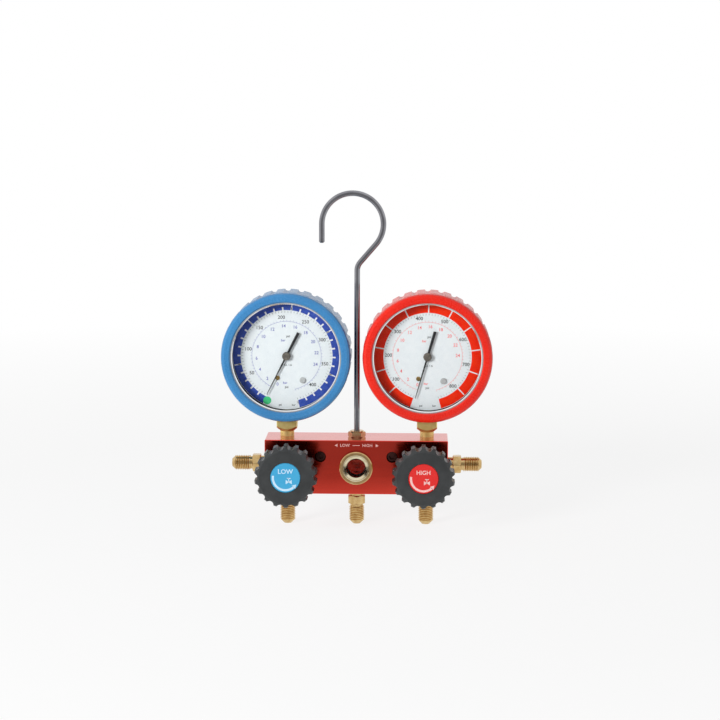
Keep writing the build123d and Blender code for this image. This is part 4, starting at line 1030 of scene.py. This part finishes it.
# %% Copy the fitting to its five seats
block_low, block_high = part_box("manifold_block")
bar_middle = (block_low.z + block_high.z) / 2
DOWN = Matrix.Rotation(pi, 4, "X")
OUT = {"low": Matrix.Rotation(-pi / 2, 4, "Y"), "high": Matrix.Rotation(pi / 2, 4, "Y")}


def seat_fitting(name, place, turn):
    pick(pattern)
    bpy.ops.object.duplicate()
    copy = bpy.context.object
    copy.matrix_world = Matrix.Translation(place) @ turn
    settle(copy, name)
    copy.data.materials.append(bright_brass)
    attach(copy, "manifold")
    return copy


for name in ("low_port", "centre_port", "high_port"):
    low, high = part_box(name)
    fitting = seat_fitting(f"{name}_fitting", ((low.x + high.x) / 2, 0, block_low.z), DOWN)
    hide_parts(name)
    print(name, "solid is", [round(v / MM, 2) for v in high - low],
          "and the fitting", [round(v / MM, 2) for v in fitting.dimensions])

left = seat_fitting("low_park_fitting", (block_low.x, 0, bar_middle), OUT["low"])
seat_fitting("high_park_fitting", (block_high.x, 0, bar_middle), OUT["high"])
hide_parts("park_fittings")
bpy.data.objects.remove(pattern)

# %% [markdown]
# **Sight glass trim.** A bright bevelled ring is pressed into the brass one and holds the glass.
# It is turned like the fittings, from an outline that starts and ends at its front edge, and its
# slope faces the front, so it catches the white studio all round.

# %% Sight glass trim
TRIM_FRONT, TRIM_SEAT, TRIM_SLOPE_END, TRIM_BACK = 20.1, 19.85, 18.6, 17.6
TRIM_LIP, TRIM_MOUTH, TRIM_SHOULDER, TRIM_OUTSIDE, TRIM_BORE = 9.5, 9.3, 8.7, 8.2, 7.0
TRIM_EDGE = 0.1

trim = turned([
    (TRIM_MOUTH, TRIM_FRONT), (TRIM_BORE, TRIM_SLOPE_END), (TRIM_BORE, TRIM_BACK),
    (TRIM_OUTSIDE, TRIM_BACK), (TRIM_SHOULDER, TRIM_SEAT), (TRIM_LIP, TRIM_SEAT),
    (TRIM_LIP, TRIM_FRONT - TRIM_EDGE), (TRIM_MOUTH, TRIM_FRONT),
])
bpy.ops.object.shade_smooth_by_angle(angle=SMOOTH_BELOW)
ring_low, ring_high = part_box("sight_ring")
ring_axis = Vector(((ring_low.x + ring_high.x) / 2, 0, (ring_low.z + ring_high.z) / 2))
trim.matrix_world = Matrix.Translation(ring_axis) @ Matrix.Rotation(pi / 2, 4, "X")
settle(trim, "sight_trim")
trim.data.materials.append(trim_brass)
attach(trim, "manifold")
trim_front = min(vertex.co.y for vertex in trim.data.vertices)
print("trim stands", round((ring_low.y - trim_front) / MM, 2), "mm proud of the ring")

# %% [markdown]
# ## Handwheel badges
#
# Each badge says which side it is, above a curved arrow that shows the way to open and a small
# valve symbol.

# %% Badge print
ARC_IN, ARC_OUT = 7.9, 9.4
ARC_ANGLES = (100, -42)
ARROW_ANGLE, ARROW_LEAN, ARROW_SIZE = -47, 43, 1.9
WORD_RISE = 4.3
VALVE_PLACE = (2.4, -2.9)
VALVE_HALF, VALVE_SIZE, VALVE_STEM, VALVE_LINE = 1.25, 1.7, 2.6, 0.6
BADGE_INKS = {"low": ink("ink_badge_blue", paint(186, 218, 239), paint(200, 226, 243)),
              "high": ink("ink_badge_red", paint(238, 188, 184), paint(244, 204, 200))}


def triangle(name, place, size, lean, material, body):
    """Flat triangle that points up, leant clockwise by an angle in degrees."""
    bpy.ops.mesh.primitive_circle_add(vertices=3, radius=size, fill_type="NGON",
                                      rotation=(pi / 2, 0, 0))
    mark = bpy.context.object
    bpy.ops.object.transform_apply(location=True, rotation=True, scale=True)
    mark.rotation_euler = (0, radians(lean), 0)
    mark.location = place
    return ink_film(mark, name, material, body)


def print_badge(side, word, height):
    low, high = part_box(f"{side}_knob_badge")
    centre = Vector(((low.x + high.x) / 2, low.y, (low.z + high.z) / 2))
    pale = BADGE_INKS[side]
    body = f"{side}_handwheel"
    figures(f"{side}_badge_word", [word_mark(centre, word, 0, WORD_RISE, height)], pale, body,
            weight=0.02)
    ribbon(f"{side}_badge_arc", centre, ARC_IN * MM, ARC_OUT * MM, *ARC_ANGLES, pale, body)
    tip = on_dial(centre, (ARC_IN + ARC_OUT) / 2 * MM, ARROW_ANGLE)
    triangle(f"{side}_badge_arrow", tip, ARROW_SIZE * MM, ARROW_LEAN, pale, body)
    valve = centre + Vector((VALVE_PLACE[0] * MM, 0, VALVE_PLACE[1] * MM))
    half = Vector((VALVE_HALF * MM, 0, 0))
    triangle(f"{side}_badge_valve_left", valve - half, VALVE_SIZE * MM, 90, pale, body)
    triangle(f"{side}_badge_valve_right", valve + half, VALVE_SIZE * MM, -90, pale, body)
    ticks(f"{side}_badge_valve_stem", valve, 0, VALVE_STEM * MM, VALVE_LINE * MM, [180], pale, body)
    top = valve + Vector((0, 0, VALVE_STEM * MM))
    ticks(f"{side}_badge_valve_handle", top, -VALVE_STEM / 2 * MM, VALVE_STEM / 2 * MM,
          VALVE_LINE * MM, [90], pale, body)


print_badge("low", "LOW", 4.5)
print_badge("high", "HIGH", 4.1)
print("badge arrows from", ARC_ANGLES[0], "to", ARC_ANGLES[1], "degrees")

# %% [markdown]
# ## Words on the bar
#
# Centred above the sight glass the bar says which way each side lies, in thin pale print.

# %% Bar print
PRINT_DROP = 3.6
BAR_WORDS = (("LOW", -8, 0, 3.0), ("HIGH", 8, 0, 3.0))
BAR_ARROWS = (("bar_arrow_low", -14, -90), ("bar_arrow_high", 14.6, 90))
BAR_ARROW_SIZE = 1.3
RULE_HALF, RULE_WIDTH = 2.6, 0.35

sill = Vector((0, block_low.y, block_high.z - PRINT_DROP * MM))
figures("bar_words", [word_mark(sill, *word) for word in BAR_WORDS], INK_PINK, "manifold",
        weight=0.01)
for name, across, lean in BAR_ARROWS:
    triangle(name, sill + Vector((across * MM, 0, 0)), BAR_ARROW_SIZE * MM, lean, INK_PINK,
             "manifold")
ticks("bar_rule", sill, -RULE_HALF * MM, RULE_HALF * MM, RULE_WIDTH * MM, [90], INK_PINK,
      "manifold")
print("bar print", PRINT_DROP, "mm below the bar's top")

# %% [markdown]
# ## Floor
#
# A plain white floor under the ports. It carries the object's soft shadow and otherwise meets the
# white behind it without a line.

# %% Floor
FLOOR_HEIGHT = cad_box[0].z - 0.2 * MM
FLOOR_WHITE = (0.96, 0.96, 0.96, 1)

bpy.ops.mesh.primitive_plane_add(size=6.0, location=(0, 0, FLOOR_HEIGHT))
floor = bpy.context.object
floor.name = "floor"
floor_material, floor_tree, floor_shader = blank_finish("floor_white", 0.9)
floor_shader.inputs["Base Color"].default_value = FLOOR_WHITE
floor_shader.inputs["Specular IOR Level"].default_value = 0.0
floor.data.materials.append(floor_material)
print("floor at", round(FLOOR_HEIGHT / MM, 2), "mm")

# %% [markdown]
# The eye should see white paper without an edge at the horizon. To the camera the floor therefore
# shows mostly plain white, wholly so far away, and only near the object a part of its real
# shading, which carries the shadow. A reflection sees the same tent in it as in the world, but
# right under the object the floor is always white, and lights the undersides from below.

# %% Floor seen as white paper
SHADOW_SHARE = 0.18
PAPER_NEAR = 0.35
PAPER_FAR = 1.2
TENT_NEAR = 0.12
TENT_FAR = 0.2

place = floor_tree.nodes.new("ShaderNodeTexCoord")
distance = floor_tree.nodes.new("ShaderNodeVectorMath")
distance.operation = "LENGTH"
floor_tree.links.new(place.outputs["Object"], distance.inputs[0])
share = floor_tree.nodes.new("ShaderNodeMapRange")
share.inputs["From Min"].default_value = PAPER_NEAR
share.inputs["From Max"].default_value = PAPER_FAR
share.inputs["To Min"].default_value = 1 - SHADOW_SHARE
share.inputs["To Max"].default_value = 1.0
floor_tree.links.new(distance.outputs["Value"], share.inputs["Value"])
floor_path = floor_tree.nodes.new("ShaderNodeLightPath")
shown = floor_tree.nodes.new("ShaderNodeMath")
shown.operation = "MULTIPLY"
floor_tree.links.new(share.outputs["Result"], shown.inputs[0])
floor_tree.links.new(floor_path.outputs["Is Camera Ray"], shown.inputs[1])
amount = floor_tree.nodes.new("ShaderNodeMath")
amount.operation = "MAXIMUM"
floor_tree.links.new(shown.outputs["Value"], amount.inputs[0])
floor_tree.links.new(floor_path.outputs["Is Glossy Ray"], amount.inputs[1])
paper = floor_tree.nodes.new("ShaderNodeEmission")
paper.inputs["Color"].default_value = (1, 1, 1, 1)
outside = floor_tree.nodes.new("ShaderNodeMapRange")
outside.inputs["From Min"].default_value = TENT_NEAR
outside.inputs["From Max"].default_value = TENT_FAR
floor_tree.links.new(distance.outputs["Value"], outside.inputs["Value"])
tent = tent_brightness(floor_tree, place.outputs["Object"])
tent = choose(floor_tree, outside.outputs["Result"], tent)
floor_tree.links.new(choose(floor_tree, floor_path.outputs["Is Glossy Ray"], tent),
                     paper.inputs["Strength"])
blend = floor_tree.nodes.new("ShaderNodeMixShader")
floor_tree.links.new(amount.outputs["Value"], blend.inputs["Fac"])
floor_tree.links.new(floor_shader.outputs["BSDF"], blend.inputs[1])
floor_tree.links.new(paper.outputs["Emission"], blend.inputs[2])
floor_tree.links.new(blend.outputs["Shader"], floor_tree.nodes["Material Output"].inputs["Surface"])
print("shadow share", SHADOW_SHARE)
